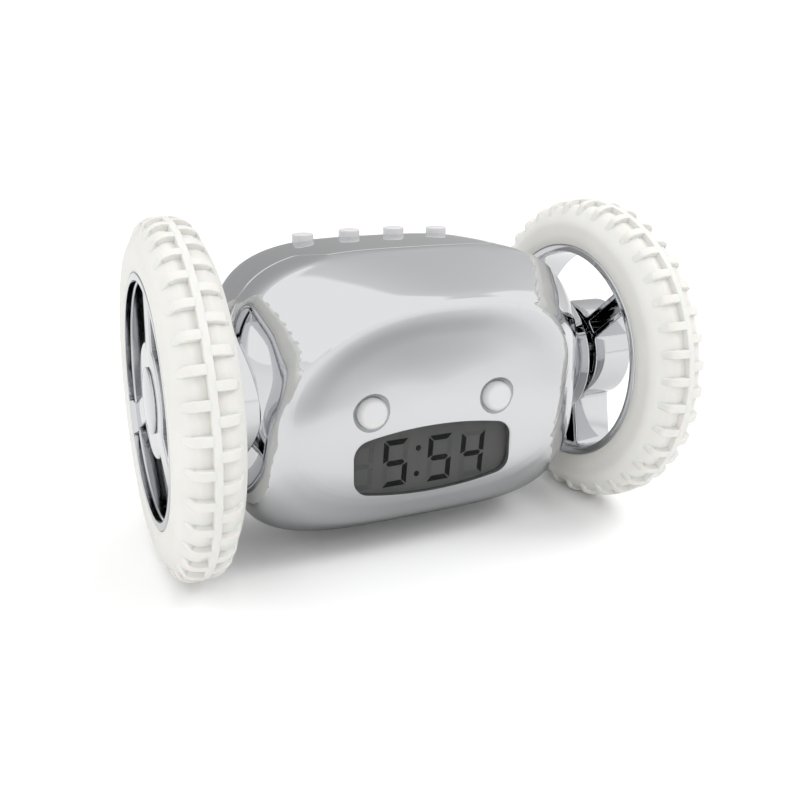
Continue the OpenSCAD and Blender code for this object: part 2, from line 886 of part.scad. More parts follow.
// Places a shape of the wheel, with its axis along Z, at the right wheel
module at_wheel(turn) {
  translate([track_half, 0, wheel_r])
    rotate([-turn, 0, 0])
      rotate([90, 0, -90])
        mirror([0, 0, 1])
          children();
}

module rim_profile() {
  polygon([
    [rim_in_r, -rim_half + 0.5], [rim_in_r + 0.5, -rim_half], [lip_r - 0.5, -rim_half],
    [lip_r, -rim_half + 0.5], [lip_r, -rim_half + 1.3], [rim_in_r + 1.3, -rim_half + 1.9],
    [rim_in_r + 1.3, rim_half - 1.9], [lip_r, rim_half - 1.3], [lip_r, rim_half - 0.5],
    [lip_r - 0.5, rim_half], [rim_in_r + 0.5, rim_half], [rim_in_r, rim_half - 0.5]
  ]);
}

// The spokes' plan, w wide
module spoke_plan(w, r0, r1) {
  for (a = [0, 120, 240])
    rotate(a)
      translate([r0, -w / 2])
        square([r1 - r0, w]);
}

core_r = 5.2;
rib_t = 1.3;
floor_t = 1.6;

module hub(turn) {
  color("silver")
  at_wheel(turn)
    difference() {
      union() {
        rotate_extrude()
          rim_profile();
        translate([0, 0, hub_in])
          linear_extrude(hub_out - hub_in)
            union() {
              circle(r = drum_r);
              spoke_plan(spoke_w, 0, rim_in_r + 0.4);
            }
      }
      translate([0, 0, hub_in - 1])
        linear_extrude(hub_out - floor_t - hub_in + 1)
          difference() {
            union() {
              circle(r = drum_r - hub_wall);
              spoke_plan(spoke_w - 2 * hub_wall, drum_r, rim_in_r - 1.2);
            }
            circle(r = core_r);
            for (a = [60 : 60 : 360])
              rotate(a)
                translate([0, -rib_t / 2])
                  square([drum_r, rib_t]);
          }
      translate([0, 0, hub_in - 1])
        cylinder(r = axle_r + 0.02, h = 30);
      translate([0, 0, hub_out - 1.9])
        cylinder(r = 3.3, h = 3);
    }
}

module hub_cap() {
  color("silver")
  translate([track_half, 0, wheel_r])
    along_x(0, 0, 0)
      rotate_extrude()
        polygon([[0, hub_out + seat], [8.6, hub_out + seat], [8.6, hub_out + 0.35], [7.4, hub_out + 0.75],
                 [4.5, hub_out + 1.1], [0, hub_out + 1.3]]);
}

module wheel_screw() {
  color("gray")
  along_x(axle_x1 + 0.65, axle_yz[0], axle_yz[1])
    pan_head(3, 1.2, 0.9, 6);
}

carcass_r = wheel_r - lug_h;
bead_r = lip_r + seat;

module carcass_profile() {
  polygon([
    [rim_in_r + 1.4, -rim_half + 2.1], [bead_r, -rim_half + 1.4], [bead_r, -rim_half + 0.2],
    [bead_r + 0.8, -tyre_half + 0.35], [bead_r + 2.3, -tyre_half + 0.05], [carcass_r - 7, -tyre_half],
    [carcass_r - 5.4, -tyre_half + 0.15], [carcass_r - 4, -tyre_half + 0.75],
    [carcass_r - 2.6, -tyre_half + 1.75], [carcass_r - 1.3, -tyre_half + 2.9],
    [carcass_r - 0.4, -tyre_half + 4.2], [carcass_r, -tyre_half + 5.4],
    [carcass_r, -rib_w / 2 - 0.1], [wheel_r, -rib_w / 2],
    [wheel_r, rib_w / 2], [carcass_r, rib_w / 2 + 0.1],
    [carcass_r, tyre_half - 5.4], [carcass_r - 0.4, tyre_half - 4.2],
    [carcass_r - 1.3, tyre_half - 2.9], [carcass_r - 2.6, tyre_half - 1.75],
    [carcass_r - 4, tyre_half - 0.75], [carcass_r - 5.4, tyre_half - 0.15],
    [carcass_r - 7, tyre_half], [bead_r + 2.3, tyre_half - 0.05], [bead_r + 0.8, tyre_half - 0.35],
    [bead_r, rim_half - 0.2], [bead_r, rim_half - 1.4], [rim_in_r + 1.4, rim_half - 2.1]
  ]);
}

// Section of the lugs on one side of the rib
module lug_profile() {
  polygon([
    [carcass_r - 2.6, rib_w / 2 - 0.4], [wheel_r - lap, rib_w / 2 - 0.4], [wheel_r - lap, tyre_half - 6],
    [wheel_r - 0.35, tyre_half - 4.6], [wheel_r - 0.9, tyre_half - 3.5],
    [wheel_r - 1.6, tyre_half - 2.7], [carcass_r - 1.3, tyre_half - 2.1],
    [carcass_r - 2.4, tyre_half - 1.65], [carcass_r - 2.6, tyre_half - 1.9]
  ]);
}

// Outline of a ring of lugs, each w wide at radius r
module lug_ring(r, w) {
  half = asin(w / 2 / r);
  step = 360 / lug_count;
  polygon([for (i = [0 : lug_count - 1], k = [0 : 3])
    let (
      a = i * step + [-half, -half, half, half][k],
      q = [carcass_r - 3, r + 3, r + 3, carcass_r - 3][k]
    )
    q * [cos(a), sin(a)]]);
}

module lug_row(turn) {
  intersection() {
    rotate_extrude()
      lug_profile();
    rotate(turn)
      linear_extrude(tyre_half + 1)
        lug_ring(wheel_r, lug_w);
  }
}

module tyre(turn) {
  color("whitesmoke")
  at_wheel(turn)
    union() {
      rotate_extrude()
        carcass_profile();
      lug_row(180 / lug_count);
      mirror([0, 0, 1])
        lug_row(0);
    }
}

// ---- right and left pieces ----
module motor_right() {
  motor();
}

module motor_left() {
  left()
    motor();
}

module motor_shaft_right() {
  motor_shaft();
}

module motor_shaft_left() {
  left()
    motor_shaft();
}

module pinion_right() {
  pinion();
}

module pinion_left() {
  left()
    pinion();
}

module idler_gear_right() {
  idler_gear();
}

module idler_gear_left() {
  left()
    idler_gear();
}

module idler_pin_right() {
  idler_pin();
}

module idler_pin_left() {
  left()
    idler_pin();
}

module gearbox_right() {
  gearbox();
}

module gearbox_left() {
  left()
    gearbox();
}

module output_gear_right() {
  output_gear();
}

module output_gear_left() {
  left()
    output_gear();
}

module axle_right() {
  axle();
}

module axle_left() {
  left()
    axle();
}

module bush_right() {
  bush();
}

module bush_left() {
  left()
    bush();
}

module hub_right() {
  hub(spoke_turn_right);
}

module hub_left() {
  left()
    hub(spoke_turn_left);
}

module tyre_right() {
  tyre(spoke_turn_right);
}

module tyre_left() {
  left()
    tyre(spoke_turn_left);
}

module hub_cap_right() {
  hub_cap();
}

module hub_cap_left() {
  left()
    hub_cap();
}

module wheel_screw_right() {
  wheel_screw();
}

module wheel_screw_left() {
  left()
    wheel_screw();
}

front_shell();
rear_shell();
side_cap_left();
side_cap_right();
window_pane();
lcd_glass();
lcd_frame();
lcd_contact_strips();
main_board();
face_switches();
key_board();
top_switches();
speaker();
battery_box();
battery_cells();
battery_contacts();
battery_door();
door_screw();
case_screws();
face_button_left();
face_button_right();
top_button_1();
top_button_2();
top_button_3();
top_button_4();
motor_left();
motor_right();
motor_shaft_left();
motor_shaft_right();
pinion_left();
pinion_right();
idler_gear_left();
idler_gear_right();
idler_pin_left();
idler_pin_right();
gearbox_left();
gearbox_right();
output_gear_left();
output_gear_right();
axle_left();
axle_right();
bush_left();
bush_right();
hub_left();
hub_right();
tyre_left();
tyre_right();
hub_cap_left();
hub_cap_right();
wheel_screw_left();
wheel_screw_right();
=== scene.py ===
# %% [markdown]
# # A runaway alarm clock in chrome and rubber
# This notebook dresses the measured parts of a small alarm clock that drives
# away on two wheels. The measured parts come in first and stay where they are.
# Each piece that needs a finer surface than the solids have is worked out with
# numpy from a few measured numbers, in millimetres, and stands for its solid.

import json
import math

import bmesh
import bpy
import numpy as np
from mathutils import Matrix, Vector

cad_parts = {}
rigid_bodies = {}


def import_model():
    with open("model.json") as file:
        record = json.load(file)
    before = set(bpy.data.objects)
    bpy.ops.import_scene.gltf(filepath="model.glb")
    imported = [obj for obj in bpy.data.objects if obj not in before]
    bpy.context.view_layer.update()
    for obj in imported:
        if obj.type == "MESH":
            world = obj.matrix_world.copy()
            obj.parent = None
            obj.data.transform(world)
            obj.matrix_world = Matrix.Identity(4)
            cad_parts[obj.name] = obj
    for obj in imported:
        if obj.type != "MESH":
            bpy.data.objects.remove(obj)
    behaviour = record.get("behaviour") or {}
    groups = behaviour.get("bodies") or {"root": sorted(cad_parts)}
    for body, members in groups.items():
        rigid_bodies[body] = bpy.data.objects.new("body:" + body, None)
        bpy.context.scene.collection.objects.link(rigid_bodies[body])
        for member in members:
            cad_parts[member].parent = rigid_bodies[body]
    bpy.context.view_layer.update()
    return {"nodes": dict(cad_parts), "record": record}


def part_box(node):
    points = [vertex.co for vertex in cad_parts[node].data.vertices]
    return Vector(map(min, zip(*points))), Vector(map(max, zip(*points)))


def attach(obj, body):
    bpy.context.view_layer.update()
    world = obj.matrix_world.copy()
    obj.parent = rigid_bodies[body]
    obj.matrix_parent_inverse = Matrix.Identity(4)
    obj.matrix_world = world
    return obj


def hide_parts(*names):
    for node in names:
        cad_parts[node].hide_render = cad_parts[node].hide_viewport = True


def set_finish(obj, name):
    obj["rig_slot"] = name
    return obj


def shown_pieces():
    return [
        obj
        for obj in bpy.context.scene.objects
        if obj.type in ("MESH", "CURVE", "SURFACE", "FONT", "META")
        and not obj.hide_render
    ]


for leftover in list(bpy.data.objects):
    bpy.data.objects.remove(leftover)
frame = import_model()
MM = 0.001

# %% [markdown]
# ## From points to a piece
# A numpy surface is a grid of points and a list of faces that name the points
# by number. One helper makes the object, so that every piece is treated alike:
# the points are turned from millimetres to metres, faces are turned to point
# outwards by the sign of the volume they enclose, and edges that bend sharply
# are marked, so that shading stays crisp there and smooth everywhere else.


# %% Mesh helper
def grid_faces(rows, cols, close_rows=False, close_cols=True, first=0):
    """Four-sided faces of a grid. The point in row i and column j has the number
    first + i * cols + j, and a face joins it to its neighbours in i + 1 and j + 1."""
    i = np.arange(rows if close_rows else rows - 1)[:, None]
    j = np.arange(cols if close_cols else cols - 1)[None, :]
    below, beside = (i + 1) % rows, (j + 1) % cols
    here, under = i * cols, below * cols
    quads = np.stack([here + j, here + beside, under + beside, under + j], -1)
    return first + quads.reshape(-1, 4)


def fan_faces(centre, ring):
    """Triangles from one centre point to each edge of a closed ring of points."""
    ring = np.asarray(ring)
    return np.stack([np.full(len(ring), centre), ring, np.roll(ring, -1)], -1)


def capped_grid(points, rows, cols, first_end, last_end):
    """Points and faces of a tube of rings that one more point closes at each end."""
    faces = [grid_faces(rows, cols), fan_faces(len(points), np.arange(cols)[::-1]),
             fan_faces(len(points) + 1, (rows - 1) * cols + np.arange(cols))]
    return np.vstack([points, [first_end, last_end]]), faces


def enclosed_volume(points, faces):
    """Sum of the small tetrahedra between the origin and each face: a closed
    surface whose faces point outwards gives a positive sum."""
    a, b, c = (points[faces[:, k]] for k in (0, 1, 2))
    total = np.einsum("ij,ij->i", a, np.cross(b, c)).sum()
    if faces.shape[1] == 4:
        d = points[faces[:, 3]]
        total += np.einsum("ij,ij->i", a, np.cross(c, d)).sum()
    return total / 6


def outwards(points, face_sets):
    """Turns every face round if the closed surface points inwards."""
    face_sets = [np.asarray(f) for f in face_sets if len(f)]
    inside_out = sum(enclosed_volume(points, f) for f in face_sets) < 0
    return [f[:, ::-1] for f in face_sets] if inside_out else face_sets


def make_piece(name, points, face_sets, sharp=35.0):
    """Makes a mesh object from points in millimetres and arrays of faces."""
    points = np.asarray(points, float)
    face_sets = outwards(points, face_sets)
    loops = np.concatenate([f.ravel() for f in face_sets])
    sizes = np.concatenate([np.full(len(f), f.shape[1]) for f in face_sets])
    mesh = bpy.data.meshes.new(name)
    mesh.vertices.add(len(points))
    mesh.vertices.foreach_set("co", (points * MM).astype(np.float32).ravel())
    mesh.loops.add(len(loops))
    mesh.loops.foreach_set("vertex_index", loops.astype(np.int32))
    mesh.polygons.add(len(sizes))
    starts = np.concatenate([[0], np.cumsum(sizes)[:-1]])
    mesh.polygons.foreach_set("loop_start", starts.astype(np.int32))
    mesh.update(calc_edges=True)
    mesh.validate()
    piece = bpy.data.objects.new(name, mesh)
    bpy.context.scene.collection.objects.link(piece)
    smooth_shading(piece, sharp)
    print(name, "-", len(mesh.vertices), "points,", len(mesh.polygons), "faces")
    return piece


def smooth_shading(piece, sharp):
    """Shades faces smooth and marks the edges that bend by more than sharp degrees."""
    work = bmesh.new()
    work.from_mesh(piece.data)
    limit = math.radians(sharp)
    for face in work.faces:
        face.smooth = True
    for edge in work.edges:
        edge.smooth = len(edge.link_faces) == 2 and edge.calc_face_angle(0.0) < limit
    work.to_mesh(piece.data)
    work.free()


# %% [markdown]
# ## Round pieces
# Buttons, caps, rims and tyres are all turned shapes: one profile carried
# round an axis. A moulded edge is never quite sharp, and its small radius is
# what catches the light, so the corners of a profile are rounded first.


# %% Profiles and turned shapes
def round_corners(corners, steps):
    """Replaces each corner (x, y, radius) by an arc that touches both its sides.
    The arc leaves each side at radius * tan(half the turn) before the corner."""
    corners = np.asarray(corners, float)
    xy, radius = corners[:, :2], corners[:, 2]
    path = []
    for here, back, ahead, r in zip(xy, np.roll(xy, 1, 0), np.roll(xy, -1, 0), radius):
        u, v = (back - here), (ahead - here)
        u, v = u / np.linalg.norm(u), v / np.linalg.norm(v)
        between = math.acos(np.clip(u @ v, -1, 1))
        if r <= 0 or between > math.pi - 0.01:
            path.append(here[None])
            continue
        cut = r / math.tan(between / 2)
        middle = here + (u + v) / np.linalg.norm(u + v) * r / math.sin(between / 2)
        a, b = here + u * cut - middle, here + v * cut - middle
        t = np.linspace(0, 1, steps + 1)[:, None]
        spread = math.pi - between
        arc = (np.sin((1 - t) * spread) * a + np.sin(t * spread) * b) / math.sin(spread)
        path.append(middle + arc)
    return np.concatenate(path)


def turned(profile, turns, axis="x", centre=(0, 0, 0), closed=False):
    """Carries a profile of (height along the axis, radius) round the axis.
    Where an end of an open profile lies on the axis, a single point closes it."""
    profile = np.asarray(profile, float)
    angle = np.linspace(0, 2 * np.pi, turns, endpoint=False)
    low = 1 if not closed and profile[0, 1] < 1e-9 else 0
    high = 1 if not closed and profile[-1, 1] < 1e-9 else 0
    body = profile[low:len(profile) - high]
    h, r = body[:, :1], body[:, 1:]
    across, up = r * np.cos(angle), r * np.sin(angle)
    along = h + 0 * angle
    order = {"x": (along, across, up), "y": (up, along, across), "z": (across, up, along)}[axis]
    points = np.stack(order, -1).reshape(-1, 3)
    faces = [grid_faces(len(body), turns, close_rows=closed)]
    unit = {"x": (1, 0, 0), "y": (0, 1, 0), "z": (0, 0, 1)}[axis]
    for end, row in ((low, 0), (high, len(body) - 1)):
        if end:
            ring = row * turns + np.arange(turns)
            faces.append(fan_faces(len(points), ring if row else ring[::-1]))
            points = np.vstack([points, np.array(unit) * profile[-1 if row else 0, 0]])
    return points + np.array(centre), faces


def joined(*shapes):
    """Several (points, faces) shapes as one, with the face numbers moved on."""
    points, sets, start = [], [], 0
    for p, faces in shapes:
        points.append(p)
        sets += [f + start for f in outwards(p, faces)]
        start += len(p)
    return np.concatenate(points), sets


# %% [markdown]
# ## Cutting openings
# An opening in a moulded shell has a small radius all round its mouth. The
# cutter is an outline carried along a line and grown a little at each step,
# so that the cut it leaves flares out at the surface. Boolean modifiers take
# the cutters out, and are applied, so the finished piece is plain mesh.


# %% Cutters
def flared(outline, steps, axis="y", centre=(0, 0, 0)):
    """A closed block from an outline of (across, up) points. steps is a list of
    (place along the axis, growth): each outline point moves outwards by growth."""
    outline = np.asarray(outline, float)
    ahead = np.roll(outline, -1, 0) - np.roll(outline, 1, 0)
    normal = np.stack([ahead[:, 1], -ahead[:, 0]], -1)
    normal /= np.linalg.norm(normal, axis=1, keepdims=True)
    x, y = outline.T
    normal *= np.sign((x * np.roll(y, -1) - y * np.roll(x, -1)).sum())
    places, growth = np.array(steps, float).T
    ring = outline[None] + growth[:, None, None] * normal[None]
    along = np.broadcast_to(places[:, None], ring.shape[:2])
    a, b = ring[..., 0], ring[..., 1]
    order = {"x": (along, a, b), "y": (a, along, b), "z": (a, b, along)}[axis]
    points = np.stack(order, -1).reshape(-1, 3)
    n = len(outline)
    points, faces = capped_grid(points, len(places), n, points[:n].mean(0), points[-n:].mean(0))
    return points + np.array(centre), faces


def circle(radius, count=64):
    """Points on a circle."""
    t = np.linspace(0, 2 * np.pi, count, endpoint=False)
    return radius * np.stack([np.cos(t), np.sin(t)], -1)


def mouth(surface, radius, outwards, depth, clear=6.0):
    """Steps for flared(): straight up to the surface, then a quarter round of the
    given radius, then straight out through the air."""
    a = np.linspace(0, np.pi / 2, 7)
    place = surface - outwards * radius * (1 - np.sin(a))
    growth = radius * (1 - np.cos(a))
    place = np.concatenate([[surface - outwards * depth], place, [surface + outwards * clear]])
    return np.stack([place, np.concatenate([[0], growth, growth[-1:]])], -1)


def cut(piece, cutters, how="DIFFERENCE", sharp=35.0):
    """Takes the cutters' shapes out of the piece, or keeps what they share. The
    cutters of a call don't touch each other, so they go in together as one mesh."""
    tool = make_piece("cutter", *joined(*cutters))
    step = piece.modifiers.new("cut", "BOOLEAN")
    step.operation, step.solver, step.object = how, "MANIFOLD", tool
    view = bpy.context.evaluated_depsgraph_get()
    piece.data = bpy.data.meshes.new_from_object(piece.evaluated_get(view))
    piece.modifiers.clear()
    bpy.data.objects.remove(tool)
    smooth_shading(piece, sharp)
    print(piece.name, "after the cut:", len(piece.data.polygons), "faces")


# %% [markdown]
# ## The body's form
# The body is one moulded form from the back, over the seam, to the face. It is
# given by rings: each ring is a rounded rectangle whose height and roundness
# differ above and below the middle, and whose distance back or forward grows
# towards its top. Rings close together and far forward make the sharp brow,
# and the rings inside them lie further back, so the face is hollow below it.
# A curve through each ring's points, from ring to ring, fills the surface.

# %% Numbers of the form, in millimetres
BODY_Z = 43.7
WALL = 1.8
# half width, height and roundness above, height and roundness below,
# then Y at the side, top and bottom, and how fast Y grows upwards
FRONT_RINGS = np.array([
    [50.5, 39.0, 3.7, 38.5, 5.4, 0, 0, 0, 1],
    [51.0, 38.7, 3.6, 38.4, 5.0, -6.5, -10.2, -6.5, 1],
    [50.2, 37.6, 3.4, 36.9, 4.2, -13.2, -13.2, -12.5, 1],
    [47.3, 34.2, 3.0, 33.4, 3.4, -18.3, -22.5, -18.2, 1],
    [43.8, 31.3, 2.6, 28.6, 3.0, -21.0, -30.2, -20.8, 0.9],
    [41.4, 29.9, 2.35, 26.2, 2.8, -22.0, -33.3, -21.6, 0.8],
    [40.4, 29.1, 2.28, 25.2, 2.7, -22.25, -34.6, -21.85, 0.8],
    [39.4, 28.0, 2.25, 24.1, 2.6, -22.4, -34.95, -22.0, 0.8],
    [36.6, 25.4, 2.2, 21.5, 2.5, -22.5, -33.6, -22.3, 0.8],
    [30.0, 19.5, 2.1, 16.0, 2.4, -22.5, -29.5, -22.4, 0.9],
    [20.0, 12.0, 2.0, 10.5, 2.2, -22.4, -25.3, -22.4, 1],
    [9.0, 5.5, 2.0, 5.0, 2.0, -22.3, -22.9, -22.3, 1]])
FACE_Y = -22.2
REAR_RINGS = np.array([
    [50.5, 39.0, 3.7, 38.5, 5.4, 0, 0, 0, 1],
    [50.6, 39.0, 3.7, 38.4, 5.2, 8, 9, 8, 1],
    [50.2, 38.5, 3.6, 37.6, 4.8, 18, 22, 17, 1],
    [48.2, 36.3, 3.3, 34.8, 4.0, 26.5, 29.0, 25.5, 1],
    [43.6, 32.0, 3.0, 29.8, 3.4, 31.3, 32.4, 30.6, 1],
    [36.0, 24.8, 2.7, 23.6, 3.0, 33.4, 33.8, 33.0, 1],
    [22.0, 15.0, 2.4, 14.5, 2.5, 34.3, 34.3, 34.2, 1]])
BACK_Y = 34.6
TONGUE_LEN, TONGUE_HALF, TONGUE_ROOT = 8.0, 24.5, 31.0


def ring_lines(rings, turn, inset=0.0):
    """For each ring and each direction: radius and Y. The radius is
    1 / (|cos / a| ^ n + |sin / b| ^ n) ^ (1 / n), with b and n taken from above or
    below the middle. Y goes from its side value to its top or bottom value with
    the sine of the direction, raised to the given power."""
    c, s = np.abs(np.cos(turn))[None], np.abs(np.sin(turn))[None]
    upper = (np.sin(turn) >= 0)[None]
    a, top, n_top, low, n_low, y_side, y_top, y_low, power = np.hsplit(rings, 9)
    b, n = np.where(upper, top, low) - inset, np.where(upper, n_top, n_low)
    radius = ((c / (a - inset)) ** n + (s / b) ** n) ** (-1 / n)
    y = y_side + np.where(upper, (y_top - y_side) * s ** power, (y_low - y_side) * s ** 2)
    return radius, y


def round_blur(values, turn_step, spread):
    """Averages each ring with its neighbours round the form, with bell weights:
    it takes out the slight kink where the upper half meets the lower half."""
    reach = int(3 * spread / turn_step)
    k = np.arange(-reach, reach + 1) * turn_step
    weight = np.exp(-0.5 * (k / spread) ** 2)
    weight /= weight.sum()
    padded = np.concatenate([values[:, -reach:], values, values[:, :reach]], 1)
    return np.stack([np.convolve(row, weight, "valid") for row in padded])


def tongue_shift(x, upper):
    """How far the top panel moves the seam: full in its middle, none beyond its
    root, and a straight slant between."""
    slant = np.clip((TONGUE_ROOT - np.abs(x)) / (TONGUE_ROOT - TONGUE_HALF), 0, 1)
    return -TONGUE_LEN * slant * upper


def through(lines, at):
    """Smooth curve through rows of numbers: between rows k and k + 1, with u the
    share of the way, weights (-u + 2u2 - u3, 2 - 5u2 + 3u3, u + 4u2 - 3u3,
    -u2 + u3) / 2 go to the four rows around."""
    k = np.clip(np.floor(at).astype(int), 0, len(lines) - 4)
    u = at - k
    w = np.stack([-u + 2 * u**2 - u**3, 2 - 5 * u**2 + 3 * u**3,
                  u + 4 * u**2 - 3 * u**3, -u**2 + u**3]) / 2
    cols = np.broadcast_to(np.arange(lines.shape[1]), at.shape)
    return sum(w[i] * lines[k + i, cols] for i in range(4))


# %% [markdown]
# ## One half of the body as a closed shell
# The outside is fine, because bright metal shows every step in a surface. The
# edge at the seam is rounded over a third of a millimetre, so that the joint
# shows as a dark line with a bright one beside it. The inside only has to be
# there: one ring for each ring of the form, a wall's thickness further in.

# %% Half shells
LIP = 0.3
# points of the seam's rounded edge: (how far in from the surface, how far back)
LIP_STEPS = np.array([[LIP, 0.0], [0.15, 0.04], [0.04, 0.15]])
BLUR_RADIUS, BLUR_Y = 3.0, 5.0  # in degrees round the form


def body_half(rings, pole_y, edge_y, back, around=720, between=9):
    """Points and faces of a half shell. back is +1 where the inside lies towards
    +Y of the outside (the front half), and -1 for the rear half."""
    turn = np.linspace(0, 2 * np.pi, around, endpoint=False)
    step = 360 / around
    radius, y = ring_lines(rings, turn)
    radius = np.vstack([radius[:1], round_blur(radius[1:], step, BLUR_RADIUS)])
    y = np.vstack([y[:1], round_blur(y[1:], step, BLUR_Y)])
    y[0] += edge_y + tongue_shift(radius[0] * np.cos(turn), np.sin(turn) > 0)
    # rows beyond both ends, so that the curve has a direction there
    radius = np.vstack([radius[:1], radius, 0 * turn, -radius[-1:]])
    y = np.vstack([2 * y[:1] - y[1:2], y, 0 * turn + pole_y, y[-1:]])
    first = LIP / np.abs(y[2] - y[1])
    t = np.linspace(0, len(rings), len(rings) * between + 1)[:-1]
    at = t[:, None] + first[None] * np.clip(1 - t, 0, 1)[:, None]
    r_out, y_out = through(radius, at), through(y, at)
    r_lip = radius[1] - LIP_STEPS[:, :1]
    y_lip = y[1] - back * LIP_STEPS[:, 1:]
    r_in, y_in = ring_lines(rings, turn, WALL)
    # the wall's thickness along Y grows to its full value over three rings
    shift = back * WALL * np.minimum(np.arange(len(rings)) / 3, 1)
    y_in = y_in + shift[:, None]
    y_in[0] = y[1]
    r_all = np.vstack([r_in[::-1], r_lip, r_out])
    y_all = np.vstack([y_in[::-1], y_lip, y_out])
    points = np.stack([r_all * np.cos(turn), y_all, BODY_Z + r_all * np.sin(turn)], -1)
    return capped_grid(points.reshape(-1, 3), len(r_all), around,
                       [0, pole_y + back * WALL, BODY_Z], [0, pole_y, BODY_Z])


# %% [markdown]
# ## Openings in the shells
# The window, the buttons' holes with their shallow dishes, the round caps and
# the speaker's small holes are cut out of the shells. The buttons' places are
# read from their solids, so that holes and buttons always agree.

# %% Where the openings are
def middle(node):
    """Middle of a solid's box, in millimetres."""
    low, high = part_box(node)
    return np.array(low + high) / 2 / MM


WHEEL_R = 46.2
CAP_R, CAP_GAP = 19.0, 0.1
GAP = 0.12
WINDOW_A, WINDOW_B, WINDOW_Z = 23.4, 9.4, 27.6
WINDOW_CORNER, WINDOW_BOW = 4.7, 1.8
FACE_KEY_R, TOP_KEY_R = 4.1, 3.1
# profile of the dish round a face button: (Y, how much wider than the hole)
DISH = [(-28, 1.15), (-22.6, 1.15), (-22.4, 0.95), (-22.15, 0.7), (-21.95, 0.35),
        (-21.8, 0), (-15, 0)]
face_places = [middle(f"face_button_{side}") for side in ("left", "right")]
top_places = [middle(f"top_button_{k}") for k in (1, 2, 3, 4)]
print("face buttons at", np.round(face_places, 1).tolist())
print("top buttons at", np.round(top_places, 1).tolist())


def window_outline(steps=48):
    """The window's outline: two bowed sides, grown all round by the corner radius.
    The upper side is z = h - bow * (x / w) ^ 2 and its normal (2 * bow * x / w ^ 2, 1).
    Where it ends, the growth turns on to the level and leaves a round corner."""
    w, h = WINDOW_A - WINDOW_CORNER, WINDOW_B - WINDOW_CORNER
    x = w * np.linspace(1, -1, steps)
    side = np.stack([x, h - WINDOW_BOW * (x / w) ** 2], -1)
    normal = np.arctan2(1, 2 * WINDOW_BOW * x / w ** 2)
    turns = 9
    angle = np.concatenate([np.linspace(0, normal[0], turns + 1)[:-1], normal,
                            np.linspace(normal[-1], np.pi, turns + 1)[1:]])
    base = np.vstack([side[:1].repeat(turns, 0), side, side[-1:].repeat(turns, 0)])
    upper = base + WINDOW_CORNER * np.stack([np.cos(angle), np.sin(angle)], -1)
    return np.vstack([upper, -upper])


def cap_hole(side):
    """Cutter for the round hole in one side of the body, which a cap fills."""
    inner, outer, r = side * 40, side * 60, CAP_R + CAP_GAP
    return turned([(inner, 0), (inner, r), (outer, r), (outer, 0)], 160, "x", (0, 0, WHEEL_R))


# %% Front shell
front_shell = make_piece("front_cover", *body_half(FRONT_RINGS, FACE_Y, 0.0, 1))
cutters = [flared(window_outline(), mouth(-22.42, 0.4, -1, 6.0),
                  centre=(0, 0, WINDOW_Z))]
dish = [(y, FACE_KEY_R + GAP + wider) for y, wider in DISH]
dish = [(DISH[0][0], 0), *dish, (DISH[-1][0], 0)]
cutters += [turned(dish, 96, "y", (place[0], 0, place[2])) for place in face_places]
cutters += [cap_hole(side) for side in (-1, 1)]
cut(front_shell, cutters)
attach(front_shell, "case")
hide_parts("front_shell")
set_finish(front_shell, "chrome_plated_shell")

# %% [markdown]
# ## Rear shell and battery door
# The rear half is made the same way and then parted: the door is what the half
# shares with a block, and the shell is what a slightly larger block leaves.

# %% Rear shell
DOOR_X, DOOR_LOW, DOOR_HIGH, DOOR_GAP = 25.05, 13.2, 42.2, 0.25
DOOR_SCREW_Z, DOOR_BORE, DOOR_HEAD_R, DOOR_HEAD_Y = 39.3, 1.45, 2.75, 33.5
CASE_SCREWS, CASE_SCREW_R = ((42, 14.2), (38.5, 72.7)), 2.9
SPEAKER_Z, SPEAKER_HOLE_R, SPEAKER_PITCH = 58.2, 0.9, 3.6
SEAM_GAP = 0.3


def soft_block(x, low, high, radius=1.2):
    """Outline of a rectangle with rounded corners, as (x, z) points."""
    return round_corners([(-x, low, radius), (x, low, radius),
                          (x, high, radius), (-x, high, radius)], 4)


rear_half = body_half(REAR_RINGS, BACK_Y, SEAM_GAP, -1)
rear_shell = make_piece("rear_cover", *rear_half)
cutters = [flared(soft_block(DOOR_X, DOOR_LOW, DOOR_HIGH), [(20, 0), (40, 0)])]
for side in (-1, 1):
    cutters.append(cap_hole(side))
    for x, z in CASE_SCREWS:
        cutters.append(flared(circle(CASE_SCREW_R, 48), [(7, 0), (45, 0)],
                              centre=(side * x, 0, z)))
for place in top_places:
    cutters.append(flared(circle(TOP_KEY_R + GAP), [(72, 0), (92, 0)], axis="z",
                          centre=(place[0], place[1], 0)))
for k in range(3):
    holes, r = max(1, 6 * k), SPEAKER_PITCH * k
    for a in 2 * np.pi * np.arange(holes) / holes:
        cutters.append(flared(circle(SPEAKER_HOLE_R, 24), [(28, 0), (38, 0)],
                              centre=(r * np.cos(a), 0, SPEAKER_Z + r * np.sin(a))))
cut(rear_shell, cutters)
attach(rear_shell, "case")
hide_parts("rear_shell")
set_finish(rear_shell, "chrome_plated_shell")

# %% Battery door
battery_door = make_piece("battery_cover", *rear_half)
door_outline = soft_block(DOOR_X - DOOR_GAP, DOOR_LOW + DOOR_GAP, DOOR_HIGH - DOOR_GAP, 1.0)
cut(battery_door, [flared(door_outline, [(20.5, 0), (40, 0)])], how="INTERSECT")
screw_hole = [(20, 0), (20, DOOR_BORE), (DOOR_HEAD_Y, DOOR_BORE), (DOOR_HEAD_Y, DOOR_HEAD_R),
              (40, DOOR_HEAD_R), (40, 0)]
cut(battery_door, [turned(screw_hole, 48, "y", (0, 0, DOOR_SCREW_Z))])
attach(battery_door, "door")
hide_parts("battery_door")
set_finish(battery_door, "chrome_plated_shell")

# %% [markdown]
# ## Round chrome caps on the sides
# The cap that the axle comes out of is a plain turned disc with a low dome.
# Its rim has a radius of 0.7 mm, which shows as one bright line.

